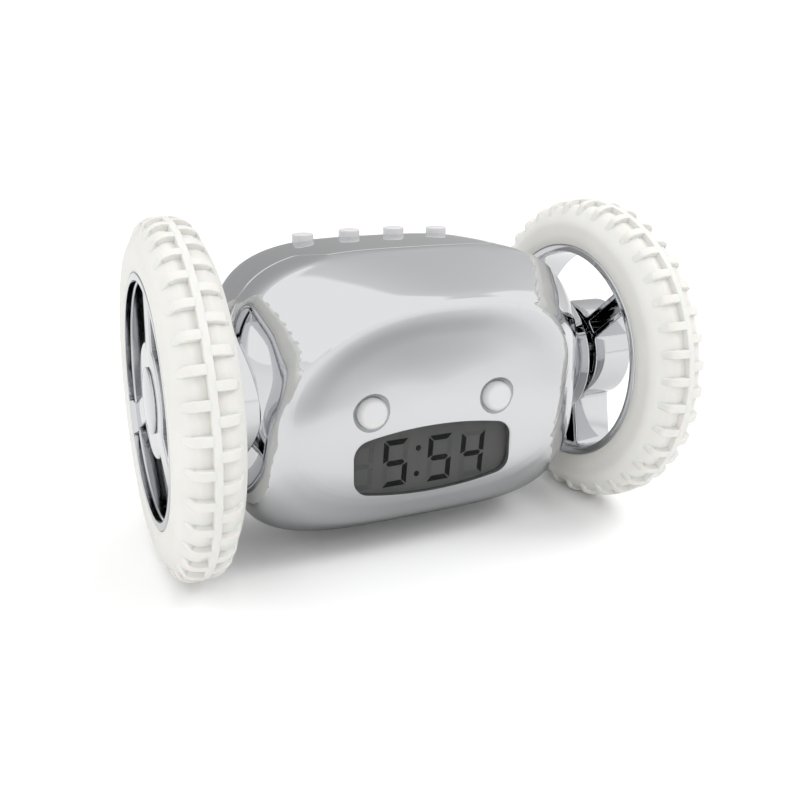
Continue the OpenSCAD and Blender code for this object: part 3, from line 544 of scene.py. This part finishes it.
# %% Side caps
CAP_X, CAP_DOME, CAP_BACK, CAP_BORE = 52.2, 0.9, 47.1, 3.4


def arch(x0, x1, r0, r1, steps):
    """Profile from (x0, r0) to (x1, r1) that starts steep and ends flat, as the
    side of a low dome does: x rises with the sine, r with the cosine."""
    a = np.linspace(0, np.pi / 2, steps)
    return np.stack([x0 + (x1 - x0) * np.sin(a), r1 + (r0 - r1) * np.cos(a)], -1)


cap_profile = np.vstack([[[CAP_BACK, CAP_BORE], [CAP_BACK, CAP_R]],
                         arch(CAP_X - 0.7, CAP_X, CAP_R, CAP_R - 0.7, 7),
                         arch(CAP_X + 0.02, CAP_X + CAP_DOME, CAP_R - 0.8, 6, 30)[1:],
                         [[CAP_X + CAP_DOME, CAP_BORE + 0.3],
                          [CAP_X + CAP_DOME - 0.15, CAP_BORE]]])
for name, side in (("left", -1), ("right", 1)):
    profile = cap_profile * [side, 1]
    disc = turned(profile, 200, "x", (0, 0, WHEEL_R), closed=True)
    side_cap = make_piece(f"side_disc_{name}", *disc)
    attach(side_cap, "case")
    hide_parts(f"side_cap_{name}")
    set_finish(side_cap, "chrome_plated_shell")

# %% [markdown]
# ## Buttons
# All six buttons are turned plastic plugs with a soft edge. Their flange and
# stem are inside the body, so only the part that stands out is finer here.

# %% Buttons
STEM_R = 1.35
# where a flange begins: Y for the face, and height above BODY_Z for each top button
FACE_FLANGE_Y, TOP_FLANGE_RISE = -20.3, (33.8, 35.2, 35.2, 33.8)


def plug(edge, top, low, flange, flange_t, stem_end):
    """Profile of a button along its own axis: a nearly flat top, the rounded edge's
    points, its side down to the flange inside the body, and the stem."""
    outwards = np.sign(top - low)
    face_r, first = edge[-1][1], edge[0][1]
    a = np.linspace(0, np.pi / 2, 8)[:-1]
    dome = np.stack([top - outwards * 0.06 * (1 - np.cos(a)), first * np.sin(a)], -1)
    under = low - outwards * flange_t
    return np.vstack([dome, edge, [[low, face_r], [low, flange], [under, flange],
                                   [under, STEM_R], [stem_end, STEM_R], [stem_end, 0]]])


for side, place in zip(("left", "right"), face_places):
    top, stem_end = (corner[1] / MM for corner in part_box(f"face_button_{side}"))
    edge = arch(top + 1.9, top + 0.06, FACE_KEY_R, FACE_KEY_R - 1.1, 12)[::-1]
    profile = plug(edge, top, FACE_FLANGE_Y, FACE_KEY_R + 1, 0.8, stem_end)
    button = make_piece(f"face_key_{side}", *turned(profile, 96, "y", (place[0], 0, place[2])))
    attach(button, f"face_key_{side}")
    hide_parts(f"face_button_{side}")
    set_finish(button, "white_button")
for k, place in enumerate(top_places, 1):
    stem_end, top = (corner[2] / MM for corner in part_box(f"top_button_{k}"))
    flange_z = BODY_Z + TOP_FLANGE_RISE[k - 1]
    edge = arch(top - 0.5, top - 0.06, TOP_KEY_R, TOP_KEY_R - 0.5, 8)[::-1]
    profile = plug(edge, top, flange_z, TOP_KEY_R + 0.9, 0.7, stem_end)
    button = make_piece(f"top_key_{k}", *turned(profile, 72, "z", (place[0], place[1], 0)))
    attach(button, f"top_key_{k}")
    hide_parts(f"top_button_{k}")
    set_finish(button, "white_button")

# %% [markdown]
# ## Tyres
# The tyre is a soft rubber ring: a rounded carcass with one rib round its
# middle, and a row of short bars on each side of the rib. The bars of one row
# stand opposite the gaps of the other and run into the rib at full height, so
# that rib and bars form a T. The carcass is one turned profile. A bar is a
# short beam with rounded edges, carried along the curve of its own top from the
# rib over the shoulder, and it is worked out once and turned into 76 places.

# %% Sizes of the wheels
TRACK = 64.0
LIP_R, LIP_W, RIM_HALF = 32.75, 2.45, 7.8
LUGS, LUG_W, RIB_W, TYRE_HALF = 38, 2.3, 1.8, 8.2
SPOKE_TURN = {"left": 86.0, "right": 40.0}
CARCASS_R = WHEEL_R - 1.6
BEAD_R = LIP_R + 0.1


def curve_through(points, per):
    """Open smooth curve through points, with the same weights as through()."""
    p = np.asarray(points, float)
    p = np.vstack([2 * p[:1] - p[1:2], p, 2 * p[-1:] - p[-2:-1]])
    at = np.linspace(0, len(p) - 3, (len(p) - 3) * per + 1)
    at = np.minimum(at, len(p) - 3 - 1e-9)
    return through(p, np.repeat(at[:, None], p.shape[1], 1))


# half of the carcass's outside, from the rib's foot over the shoulder to the bead:
# (x, how far below CARCASS_R or above BEAD_R)
SHOULDER = curve_through([[x, CARCASS_R - drop] for x, drop in (
    (0.0, 0), (2.8, 0), (4.0, 0.4), (5.3, 1.3), (6.45, 2.6), (7.45, 4.0), (8.05, 5.4), (8.2, 7.0))]
    + [[x, BEAD_R + rise] for x, rise in ((8.15, 2.3), (7.85, 0.8), (7.6, 0))], 8)
SHOULDER[:, 0] = np.minimum(SHOULDER[:, 0], TYRE_HALF)
# the top of a bar, from inside the rib over the shoulder and then down its outer end
BAR_TOP = np.vstack([
    curve_through([[x, WHEEL_R - drop] for x, drop in line], per) for line, per in (
        (((0.4, 0.05), (2.2, 0.05), (3.6, 0.35), (4.7, 0.9), (5.25, 1.3)), 5),
        (((5.55, 1.65), (5.8, 2.15), (6.1, 2.9), (6.6, 4.3)), 3))])


def tyre_shape(turn):
    """Points and faces of the carcass and all its bars, with the axis along X."""
    half = RIB_W / 2
    rise = [(half + 0.3, CARCASS_R - 0.6, 0), (half + 0.1, CARCASS_R, 0.3), (half, WHEEL_R, 0.3)]
    rib = round_corners(rise + [(-x, r, corner) for x, r, corner in rise[::-1]], 5)[1:-1]
    side = SHOULDER[SHOULDER[:, 0] > half + 0.5]
    seat = [[RIM_HALF - 1.4, BEAD_R], [RIM_HALF - 2.1, LIP_R - LIP_W + 1.4]]
    outer = np.vstack([side, seat])
    profile = np.vstack([outer[::-1], rib, outer * [-1, 1]])
    shapes = [turned(profile, 304, "x", closed=True)]
    bar, faces = bar_shape()
    pitch = 2 * np.pi / LUGS
    for mirror, offset in ((1, 0.5), (-1, 0.0)):
        angle = (np.arange(LUGS) + offset) * pitch + math.radians(turn)
        c, s = np.cos(angle)[:, None], np.sin(angle)[:, None]
        x, across, up = bar.T
        y, z = across * s - up * c, across * c + up * s
        points = np.stack([np.broadcast_to(mirror * x, y.shape), y, z], -1)
        count = len(bar)
        moved = (np.arange(LUGS) * count)[:, None, None]
        sets = [(f[None] + moved).reshape(-1, f.shape[1])[:, ::mirror] for f in faces]
        shapes.append((points.reshape(-1, 3), sets))
    return joined(*shapes)


def bar_shape():
    """One bar, standing up along Z at the top of the wheel. At each point of its
    top line the section is a box with two rounded upper edges: the edge's radius f
    grows from 0.2 mm to 0.7 mm towards the outer end, and a point of it stands at
    half width - f * (1 - cos a), f * (1 - sin a) deep, with a from 0 to 90 degrees."""
    rows = len(BAR_TOP)
    along = np.gradient(BAR_TOP, axis=0)
    along /= np.linalg.norm(along, axis=1, keepdims=True)
    inwards = np.stack([along[:, 1], -along[:, 0]], -1)
    fillet = 0.2 + 0.5 * np.clip((BAR_TOP[:, 0] - 4.4) / 1.6, 0, 1) ** 2
    a = np.linspace(0, np.pi / 2, 6)
    width = LUG_W / 2 - fillet[:, None] * (1 - np.cos(a))
    depth = fillet[:, None] * (1 - np.sin(a))
    # the foot stands a little wider and lies inside the carcass
    width = np.hstack([np.full((rows, 1), LUG_W / 2 + 0.06), width])
    depth = np.hstack([np.full((rows, 1), 1.9), depth])
    width, depth = np.hstack([width, -width[:, ::-1]]), np.hstack([depth, depth[:, ::-1]])
    place = BAR_TOP[:, None] + depth[..., None] * inwards[:, None]
    cols = width.shape[1]
    points = np.stack([place[..., 0], width, place[..., 1]], -1).reshape(-1, 3)
    return capped_grid(points, rows, cols, points[:cols].mean(0), points[-cols:].mean(0))


# %% Make the tyres
for name, side in (("left", -1), ("right", 1)):
    points, faces = tyre_shape(SPOKE_TURN[name])
    if side < 0:
        points = points * [-1, 1, 1]
    tyre = make_piece(f"tread_{name}", points + [side * TRACK, 0, WHEEL_R], faces, sharp=55)
    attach(tyre, f"wheel_{name}")
    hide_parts(f"tyre_{name}")
    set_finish(tyre, "white_rubber")

# %% [markdown]
# ## Hubs
# A hub is one moulding: two polished lips that hold the tyre, a barrel between
# them, and three spokes that run from a drum in the middle. From outside the
# spokes are smooth plates. From inside they are open channels, and the drum
# has a ring-shaped recess with thin ribs in it. The hub starts as a turned
# solid. The three windows and the recesses are then cut out with outlines that
# are worked out from the widths of spokes, walls and ribs.

# %% Hub outlines
DRUM_R, SPOKE_W, HUB_WALL, CORE_R, RIB_T, FLOOR_T = 15.0, 7.0, 1.5, 5.2, 1.3, 1.6
AXLE_BORE, SCREW_BORE, BORE_STEP, HUB_CAP_R = 2.02, 3.3, 1.9, 8.6
RIM_IN = LIP_R - LIP_W
HUB_OUT = RIM_HALF - 1.5


def sector(r0, r1, half_gap, half_angle, corner, steps=40):
    """Outline between two circles and two straight sides. Each side runs
    parallel to a ray at half_angle from the middle ray and half_gap inside it.
    A point at radius r on a side stands half_angle - asin(half_gap / r) off."""
    def arc(r, sign):
        spread = half_angle - math.asin(half_gap / r)
        angles = sign * np.linspace(-spread, spread, steps)
        return [(r * math.cos(a), r * math.sin(a)) for a in angles]
    outer, inner = arc(r1, 1), arc(r0, -1)
    corners = [(*outer[0], corner), *[(*p, 0) for p in outer[1:-1]], (*outer[-1], corner),
               (*inner[0], corner), *[(*p, 0) for p in inner[1:-1]], (*inner[-1], corner)]
    return thin_corners(corners, corner)


def thin_corners(corners, corner):
    """Drops arc points that lie within reach of a rounded corner, then rounds."""
    sharp = np.array([c[:2] for c in corners if c[2] > 0])
    def clear(c):
        return np.linalg.norm(sharp - np.array(c[:2]), axis=1).min() > 1.3 * corner
    return round_corners([c for c in corners if c[2] > 0 or clear(c)], 6)


def spun(outline, degrees):
    """The outline turned about the wheel's middle."""
    a = math.radians(degrees)
    return outline @ np.array([[math.cos(a), math.sin(a)], [-math.sin(a), math.cos(a)]])


def strip(x0, x1, half, corner):
    """Rounded rectangle from x0 to x1 along a ray."""
    return round_corners([(x0, -half, corner), (x1, -half, corner),
                          (x1, half, corner), (x0, half, corner)], 4)


# %% Make the hubs
def hub_shape():
    """Turned body of the hub along X, outer side at +X, before it is cut."""
    profile = round_corners([
        (-HUB_OUT, AXLE_BORE, 0), (-HUB_OUT, RIM_IN + 0.02, 0), (-RIM_HALF, RIM_IN + 0.25, 0.5),
        (-RIM_HALF, LIP_R, 0.45), (-RIM_HALF + 1.3, LIP_R, 0), (-RIM_HALF + 1.9, RIM_IN + 1.3, 0),
        (RIM_HALF - 1.9, RIM_IN + 1.3, 0), (RIM_HALF - 1.3, LIP_R, 0), (RIM_HALF, LIP_R, 0.45),
        (RIM_HALF, RIM_IN + 0.25, 0.5), (HUB_OUT, RIM_IN + 0.02, 0), (HUB_OUT, SCREW_BORE, 0.1),
        (HUB_OUT - BORE_STEP, SCREW_BORE, 0), (HUB_OUT - BORE_STEP, AXLE_BORE, 0)], 6)
    return turned(profile, 240, "x", closed=True)


def both_mouths(low, high, radius):
    """Steps for flared(): a hole right through, with a rounded mouth at both ends."""
    near = mouth(high, radius, 1, (high - low) / 2)
    far = mouth(low, radius, -1, (high - low) / 2)[::-1]
    return np.vstack([far, near[1:]])


def hub_cutters(side, turn):
    """Three windows, three spoke channels and six recesses of the drum. Windows go
    right through; the others are open towards the body and end at the plate."""
    def at(outline, degrees, steps):
        steps = np.asarray(steps, float) * [side, 1]
        return flared(spun(outline, degrees + turn) * [-1, 1], steps, "x",
                      (side * TRACK, 0, WHEEL_R))
    window = sector(DRUM_R, RIM_IN, SPOKE_W / 2, math.radians(60), 1.6)
    channel = strip(DRUM_R, RIM_IN - 1.2, SPOKE_W / 2 - HUB_WALL, 0.5)
    recess = sector(CORE_R, DRUM_R - HUB_WALL, RIB_T / 2, math.radians(30), 0.6, 16)
    through_it = both_mouths(-HUB_OUT, HUB_OUT, 0.45)
    blind = mouth(-HUB_OUT, 0.25, -1, 2 * HUB_OUT - FLOOR_T)
    cutters = [at(window, 60 + k, through_it) for k in (0, 120, 240)]
    cutters += [at(channel, k, blind) for k in (0, 120, 240)]
    cutters += [at(recess, 30 + k, blind) for k in range(0, 360, 60)]
    return cutters


for name, side in (("left", -1), ("right", 1)):
    points, faces = hub_shape()
    points = points * [side, 1, 1] + [side * TRACK, 0, WHEEL_R]
    hub = make_piece(f"chrome_hub_{name}", points, faces)
    cut(hub, hub_cutters(side, SPOKE_TURN[name]), sharp=30)
    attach(hub, f"wheel_{name}")
    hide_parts(f"hub_{name}")
    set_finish(hub, "chrome_plated_wheel")
    dome = np.vstack([[[HUB_OUT + 0.1, 0], [HUB_OUT + 0.1, HUB_CAP_R]],
                      arch(HUB_OUT + 0.3, HUB_OUT + 1.3, HUB_CAP_R, 0, 30)])
    dome = turned(dome * [side, 1], 120, "x", (side * TRACK, 0, WHEEL_R))
    cap = make_piece(f"chrome_hub_cap_{name}", *dome)
    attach(cap, f"wheel_{name}")
    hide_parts(f"hub_cap_{name}")
    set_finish(cap, "chrome_plated_wheel")

# %% [markdown]
# ## The display
# The display is a liquid crystal cell behind a smoked pane. It shows the time
# in seven-segment digits. A segment is a bar with pointed ends, and a digit is
# seven of them in a figure of eight. Segments that are switched off still show
# faintly, because their electrodes reflect a little differently.

# %% Digits
SEGMENTS = {"a": (0, 1, "h"), "b": (1, 0.5, "v"), "c": (1, -0.5, "v"), "d": (0, -1, "h"),
            "e": (-1, -0.5, "v"), "f": (-1, 0.5, "v"), "g": (0, 0, "h")}
LIT = {"5": "acdfg", "4": "bcfg", "8": "abcdefg"}
DIGIT_W, DIGIT_H, BAR_W, SLANT = 5.8, 11.6, 1.5, 0.07
PLACES = [(-10.7, 27.1), (2.55, 26.6), (12.7, 26.2)]
UNUSED_PLACE = (-20.8, 27.5)
COLON, COLON_R = ((-3.86, 30.25), (-4.32, 23.0)), 0.8
PRINT_LIFT, PRINT_T = 0.01, 0.03


def segment_outline(sx, sz, kind):
    """One segment about the digit's middle. An outer bar is longer along its outer
    edge, a vertical one is cut slanting at both ends, and the middle one is pointed."""
    w, gap = BAR_W / 2, 0.16
    if kind == "v":
        low, high = gap, DIGIT_H / 2 - gap
        ends = [(w, low + w * 0.2), (-w, low + w), (-w, high - w), (w, high + w * 0.8)]
        return np.array(ends) * [sx, np.sign(sz)] + [sx * DIGIT_W / 2, 0]
    h = DIGIT_W / 2 - gap
    if sz:
        ends = [(-h + w, -w), (h - w, -w), (h + w * 0.8, w), (-h - w * 0.8, w)]
        return np.array(ends) * [1, sz] + [0, sz * DIGIT_H / 2]
    return np.array([(-h, 0), (-h + w, -w), (h - w, -w), (h, 0), (h - w, w), (-h + w, w)])


def display_bars(text, places, y, lit=True):
    """All lit or all unlit segments of a row of digits as one flat raised print."""
    shapes = []
    for char, (x, z) in zip(text, places):
        for key, (sx, sz, kind) in SEGMENTS.items():
            if (key in LIT[char]) == lit:
                outline = segment_outline(sx, sz, kind)
                outline = outline + np.outer(outline[:, 1], [SLANT, 0])
                shapes.append(flared(outline, [(y - PRINT_T, 0), (y, 0)], centre=(x, 0, z)))
    return joined(*shapes)


print_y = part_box("lcd_glass")[0][1] / MM - PRINT_LIFT
ink = [display_bars("554", PLACES, print_y)]
ink += [flared(circle(COLON_R, 24), [(print_y - PRINT_T, 0), (print_y, 0)], centre=(x, 0, z))
        for x, z in COLON]
lcd_digits = make_piece("display_digits", *joined(*ink))
ghosts = [display_bars("554", PLACES, print_y, lit=False),
          display_bars("8", [UNUSED_PLACE], print_y)]
lcd_ghosts = make_piece("display_segments_off", *joined(*ghosts))
for piece in (lcd_digits, lcd_ghosts):
    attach(piece, "case")
    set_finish(piece, "lcd")
pane_low, pane_high = (corner[1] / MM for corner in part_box("window_pane"))
pane = make_piece("smoked_pane", *flared(window_outline(), [
    (pane_low, -0.25), (pane_low + 0.12, -0.12), (pane_high, -0.12)], centre=(0, 0, WINDOW_Z)))
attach(pane, "case")
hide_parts("window_pane")
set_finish(pane, "smoked_pane")

# %% [markdown]
# ## Materials
# Each finish starts from what the real one is and how its surface was made.
# Colours are written as they look on a screen and turned to linear light.
# Patterns are sized in millimetres on the piece itself.


# %% Material helpers
def linear(code):
    """Screen colour to linear light: c / 12.92 for dark values and
    ((c + 0.055) / 1.055) ^ 2.4 for the others."""
    c = np.array([int(code[k:k + 2], 16) for k in (1, 3, 5)]) / 255
    value = np.where(c <= 0.04045, c / 12.92, ((c + 0.055) / 1.055) ** 2.4)
    return (*value.tolist(), 1.0)


def add(tree, kind, settings=None, links=None):
    """Adds a node. A setting goes to the input of that name or, where there is
    none, to the property. A link joins an input to another node's output."""
    made = tree.nodes.new(kind)
    for key, value in (settings or {}).items():
        if key in made.inputs:
            made.inputs[key].default_value = value
        else:
            setattr(made, key, value)
    for key, source in (links or {}).items():
        tree.links.new(source, made.inputs[key])
    return made


def new_material(name, colour, roughness, **sockets):
    """A material with its values set on the shader's own sockets."""
    made = bpy.data.materials.new(name)
    made.use_nodes = True
    shader = made.node_tree.nodes["Principled BSDF"]
    shader.inputs["Base Color"].default_value = linear(colour)
    shader.inputs["Roughness"].default_value = roughness
    for key, value in sockets.items():
        shader.inputs[key.replace("_", " ")].default_value = value
    return made, made.node_tree, shader


def between(tree, source, low, high, to_low, to_high, how="LINEAR"):
    """Value that goes from to_low to to_high while source goes from low to high."""
    made = add(tree, "ShaderNodeMapRange", {
        "interpolation_type": how, "From Min": low, "From Max": high,
        "To Min": to_low, "To Max": to_high}, {"Value": source})
    return made.outputs["Result"]


def noise(tree, size_mm, detail, roughness=0.5, scale=(1, 1, 1)):
    """Noise whose features are about size_mm millimetres wide on the piece itself."""
    place = add(tree, "ShaderNodeTexCoord").outputs["Object"]
    sized = add(tree, "ShaderNodeMapping", {"Scale": scale}, {"Vector": place})
    made = add(tree, "ShaderNodeTexNoise", {"Scale": 1 / (size_mm * MM), "Detail": detail,
                                            "Roughness": roughness}, {"Vector": sized.outputs[0]})
    return made.outputs["Fac"]


def add_bump(tree, shader, height, strength, depth_mm):
    """Uses a noise as the height of fine bumps."""
    bump = add(tree, "ShaderNodeBump", {"Strength": strength, "Distance": depth_mm * MM},
               {"Height": height})
    tree.links.new(bump.outputs["Normal"], shader.inputs["Normal"])


def add_tones(tree, shader, share, dark, light):
    """Colours the surface with two close tones, mixed by a noise."""
    tint = add(tree, "ShaderNodeMix", {"data_type": "RGBA"}, {"Factor": share})
    tint.inputs[6].default_value, tint.inputs[7].default_value = linear(dark), linear(light)
    tree.links.new(tint.outputs[2], shader.inputs["Base Color"])


# %% Chrome
def chrome_plating(name, colour, wave_mm, wave, haze):
    """Chrome-plated ABS: a mirror, but a moulded one. The plastic below gives it
    long, very shallow waves, and handling leaves faint hazy patches."""
    made, tree, shader = new_material(name, colour, 0.05, Metallic=1.0)
    add_bump(tree, shader, noise(tree, wave_mm, 1.0), 1.0, wave)
    patches = noise(tree, 14, 5.0, 0.65)
    tree.links.new(between(tree, patches, 0.4, 0.75, 0.035, haze), shader.inputs["Roughness"])
    return made


body_chrome = chrome_plating("chrome_plated_abs_body", "#d6d7d9", 9.0, 0.004, 0.09)
wheel_chrome = chrome_plating("chrome_plated_abs_wheel", "#cfd0d2", 5.0, 0.006, 0.13)

# %% Rubber and plastics
# Off-white thermoplastic rubber, moulded in a finely sparked tool: soft and matt,
# with a grain of about 0.4 mm and slightly uneven whiteness.
rubber, tree, shader = new_material("white_tpr_rubber", "#d8d7d2", 0.55,
                                    Subsurface_Weight=0.12, Subsurface_Scale=0.0015)
add_bump(tree, shader, noise(tree, 0.45, 2.0), 0.35, 0.05)
add_tones(tree, shader, noise(tree, 11, 4.0), "#d2d1cc", "#dddcd8")

# Pale translucent ABS of the buttons: polished, with a slight depth to it.
button_abs, tree, shader = new_material("pale_abs_button", "#cfd0d1", 0.3, Subsurface_Weight=0.2,
                                        Subsurface_Scale=0.0012, IOR=1.52)
add_bump(tree, shader, noise(tree, 0.6, 3.0), 0.25, 0.02)


# %% Display materials
# The cell's rear reflector is a grey foil: matt, with a faint brushed cloudiness.
lcd_foil, tree, shader = new_material("lcd_reflector_foil", "#7f817f", 0.45, IOR=1.5)
add_tones(tree, shader, noise(tree, 4.5, 4.0, scale=(1.0, 1.0, 0.35)), "#8c8e8c", "#a2a4a1")


def liquid_crystal(name, dark, light, roughness):
    """A segment of the display: its tone is never quite even."""
    made, tree, shader = new_material(name, dark, roughness)
    add_tones(tree, shader, noise(tree, 1.6, 3.0), dark, light)
    return made


lcd_on = liquid_crystal("liquid_crystal_dark", "#050505", "#0b0b0c", 0.6)
lcd_off = liquid_crystal("liquid_crystal_off", "#868886", "#929492", 0.45)
# The pane is smoked acrylic, clear but for a little dust that makes it hazy in places.
smoked, tree, shader = new_material("smoked_acrylic", "#0a0a0b", 0.03, IOR=1.49, Alpha=0.3,
                                    Specular_IOR_Level=0.15)
dust = noise(tree, 2.5, 6.0)
tree.links.new(between(tree, dust, 0.45, 0.8, 0.03, 0.12), shader.inputs["Roughness"])


# %% Materials of the inner parts
def plain(name, dark, light, roughness, grain_mm, bump_mm, **sockets):
    """A moulded, drawn or coated part: two close tones, mixed by a noise of the
    surface's real grain, and the same grain as a bump."""
    made, tree, shader = new_material(name, light, roughness, **sockets)
    grain = noise(tree, grain_mm, 4.0)
    add_tones(tree, shader, grain, dark, light)
    add_bump(tree, shader, grain, 0.5, bump_mm)
    return made


SLOT_MATERIALS = {
    "chrome_plated_shell": body_chrome,
    "chrome_plated_wheel": wheel_chrome,
    "white_rubber": rubber,
    "white_button": button_abs,
    "smoked_pane": smoked,
    "lcd": lcd_foil,
    "elastomer": plain("conductive_elastomer", "#b97f86", "#d39aa0", 0.6, 0.4, 0.02),
    "frame_plastic": plain("moulded_abs_ivory", "#d8d4c8", "#e6e3d9", 0.5, 0.8, 0.02),
    "circuit_board": plain("solder_masked_board", "#0d3d1d", "#17552b", 0.3, 1.2, 0.02),
    "switch_black": plain("moulded_nylon_black", "#141415", "#222224", 0.5, 0.5, 0.02),
    "speaker_parts": plain("coated_paper_and_steel", "#161617", "#2b2b2d", 0.6, 0.7, 0.05),
    "box_plastic": plain("moulded_abs_black", "#1a1a1b", "#272729", 0.45, 0.8, 0.03),
    "cell_sleeve": plain("shrink_sleeve", "#8d6b22", "#b18a35", 0.3, 3.0, 0.01),
    "spring_contact": plain("nickel_plated_spring_steel", "#a9a69f", "#c4c1ba", 0.25, 0.5, 0.01,
                            Metallic=1.0),
    "screw_steel": plain("zinc_plated_steel", "#9b9da0", "#bcbec1", 0.3, 0.6, 0.02, Metallic=1.0),
    "motor_can": plain("drawn_steel_can", "#a7a8aa", "#c3c4c6", 0.28, 1.0, 0.02, Metallic=1.0),
    "gear_plastic": plain("acetal", "#dedbd0", "#eceae1", 0.4, 0.9, 0.02),
    "gearbox_plastic": plain("moulded_abs_white", "#cfcec9", "#dddcd8", 0.5, 0.9, 0.03),
    "axle_steel": plain("ground_steel", "#a3a5a8", "#c0c2c4", 0.22, 0.4, 0.01, Metallic=1.0),
    "bush_bronze": plain("sintered_bronze", "#8a6336", "#a97f4c", 0.45, 0.3, 0.02, Metallic=1.0),
}
node_slot = {row["node"]: row["material_slot"] for row in frame["record"]["subparts"]}
for name, part in frame["nodes"].items():
    part.data.materials.clear()
    part.data.materials.append(SLOT_MATERIALS[node_slot[name]])
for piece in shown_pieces():
    if "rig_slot" in piece:
        piece.data.materials.clear()
        piece.data.materials.append(SLOT_MATERIALS[piece["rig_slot"]])
lcd_digits.data.materials[0] = lcd_on
lcd_ghosts.data.materials[0] = lcd_off
print("materials:", len(bpy.data.materials))

# %% [markdown]
# ## Floor, light and camera
# Chrome has no colour of its own: it shows the room. The clock stands on a
# white floor in a white room whose far side is darker, so that the top of the
# body reads grey and its front reads light. The matt parts get their shape from
# softer light that comes from above and from the left. To the camera itself the
# room is plain white.

# %% Floor
floor_mesh = bpy.data.meshes.new("floor")
floor_mesh.from_pydata([(-4, -4, 0), (4, -4, 0), (4, 4, 0), (-4, 4, 0)], [], [(0, 1, 2, 3)])
floor = bpy.data.objects.new("floor", floor_mesh)
bpy.context.scene.collection.objects.link(floor)
paper, tree, shader = new_material("matt_white_paper", "#f4f4f4", 0.8)
add_bump(tree, shader, noise(tree, 1.5, 2.0), 0.1, 0.02)
# In the metal the paper near the clock shows dark. Its colour carries a painted shadow for
# mirror rays, standing for the shade where the clock keeps the light from it: to a mirror ray
# its white is 0.4 within 20 mm of the clock's middle and 0.72 beyond 80 mm, and to every other ray
# 0.95.
place = add(tree, "ShaderNodeTexCoord")
away = add(tree, "ShaderNodeVectorMath", {"operation": "LENGTH"}, {0: place.outputs["Object"]})
# painted shadow: the paper's white made darker near the clock, for mirror rays only
painted_shadow = between(tree, away.outputs["Value"], 0.02, 0.08, 0.4, 0.72)
mirror_ray = add(tree, "ShaderNodeLightPath").outputs["Is Glossy Ray"]
amount = add(tree, "ShaderNodeMix", {"data_type": "FLOAT", "A": 0.95},
             {"Factor": mirror_ray, "B": painted_shadow}).outputs[0]
grey = add(tree, "ShaderNodeCombineColor", links={"Red": amount, "Green": amount, "Blue": amount})
tree.links.new(grey.outputs[0], shader.inputs["Base Color"])
floor.data.materials.append(paper)

# %% Room
world = bpy.data.worlds.new("white_room")
bpy.context.scene.world = world
world.use_nodes = True
tree = world.node_tree
tree.nodes.clear()
way = add(tree, "ShaderNodeTexCoord")
parts = add(tree, "ShaderNodeSeparateXYZ", links={0: way.outputs["Generated"]})


def choose(share, a, b):
    """Level a where share is 0 and level b where it is 1."""
    mix = add(tree, "ShaderNodeMix", {"data_type": "FLOAT"}, {"Factor": share, "A": a, "B": b})
    return mix.outputs[0]


# what bright metal shows: a white room that is darker behind the clock, and over it
# the crisp rear edge of a large white screen
behind = between(tree, parts.outputs["Y"], 0.3, 0.95, 0.86, 0.42)
screen = between(tree, parts.outputs["Y"], 0.3, 0.34, 0.24, 0.0)
mirrored = add(tree, "ShaderNodeMath", {"operation": "ADD"}, {0: behind, 1: screen}).outputs[0]
# what lights the matt parts: bright from above and from the left, dimmer from the right,
# where a small lamp that the metal doesn't show adds a little
leftward = between(tree, parts.outputs["X"], -0.8, 0.8, 1.45, 0.3)
upward = between(tree, parts.outputs["Z"], 0.3, 0.8, 0.0, 1.0, "SMOOTHSTEP")
above = add(tree, "ShaderNodeValue")
above.outputs[0].default_value = 1.45
ray = add(tree, "ShaderNodeLightPath")
level = choose(ray.outputs["Is Diffuse Ray"], mirrored, choose(upward, leftward, above.outputs[0]))
seen = ray.outputs["Is Camera Ray"]
room = add(tree, "ShaderNodeBackground", {"Color": (1, 1, 1, 1)}, {"Strength": level})
plain_white = add(tree, "ShaderNodeBackground", {"Color": (1, 1, 1, 1), "Strength": 1.15})
either = add(tree, "ShaderNodeMixShader",
             links={0: seen, 1: room.outputs[0], 2: plain_white.outputs[0]})
add(tree, "ShaderNodeOutputWorld", links={"Surface": either.outputs[0]})

# %% Lamp
lamp_data = bpy.data.lights.new("softbox", "AREA")
lamp_data.shape, lamp_data.energy = "RECTANGLE", 3.0
lamp_data.size = lamp_data.size_y = 0.35
lamp = bpy.data.objects.new("softbox", lamp_data)
bpy.context.scene.collection.objects.link(lamp)
lamp.location = (0.6, -0.3, 0.75)
lamp.visible_glossy = False
lamp.rotation_euler = (-lamp.location.normalized()).to_track_quat("-Z", "Y").to_euler()

# %% Camera
# The camera was fitted to the wheels' ellipses in the photograph: its turn and
# height, its distance, its focal length and where the picture's middle lies.
AZIMUTH, ELEVATION, DISTANCE = math.radians(-23.13), math.radians(14.11), 231.52
FOCUS_PX, CENTRE_PX, FRAME_PX = 835.28, (357.76, 335.69), 800
TARGET, SENSOR = [-12.93, 0.0, 57.51], 36.0
level = math.cos(ELEVATION)
back = np.array([math.sin(AZIMUTH) * level, -math.cos(AZIMUTH) * level, math.sin(ELEVATION)])
camera_data = bpy.data.cameras.new("camera")
camera_data.sensor_width = SENSOR
camera_data.lens = SENSOR * FOCUS_PX / FRAME_PX
camera_data.shift_x = (FRAME_PX / 2 - CENTRE_PX[0]) / FRAME_PX
camera_data.shift_y = (CENTRE_PX[1] - FRAME_PX / 2) / FRAME_PX
camera_data.clip_start, camera_data.clip_end = 0.01, 20
camera = bpy.data.objects.new("camera", camera_data)
bpy.context.scene.collection.objects.link(camera)
camera.location = (np.array(TARGET) + back * DISTANCE) * MM
camera.rotation_mode = "QUATERNION"
camera.rotation_quaternion = Vector(-back).to_track_quat("-Z", "Y")
bpy.context.scene.camera = camera
bpy.context.scene.view_settings.view_transform = "Standard"
print("camera at", [round(v, 4) for v in camera.location])

# %% [markdown]
# ## Last step
# The view layer is brought up to date.

# %% Finish
bpy.context.view_layer.update()
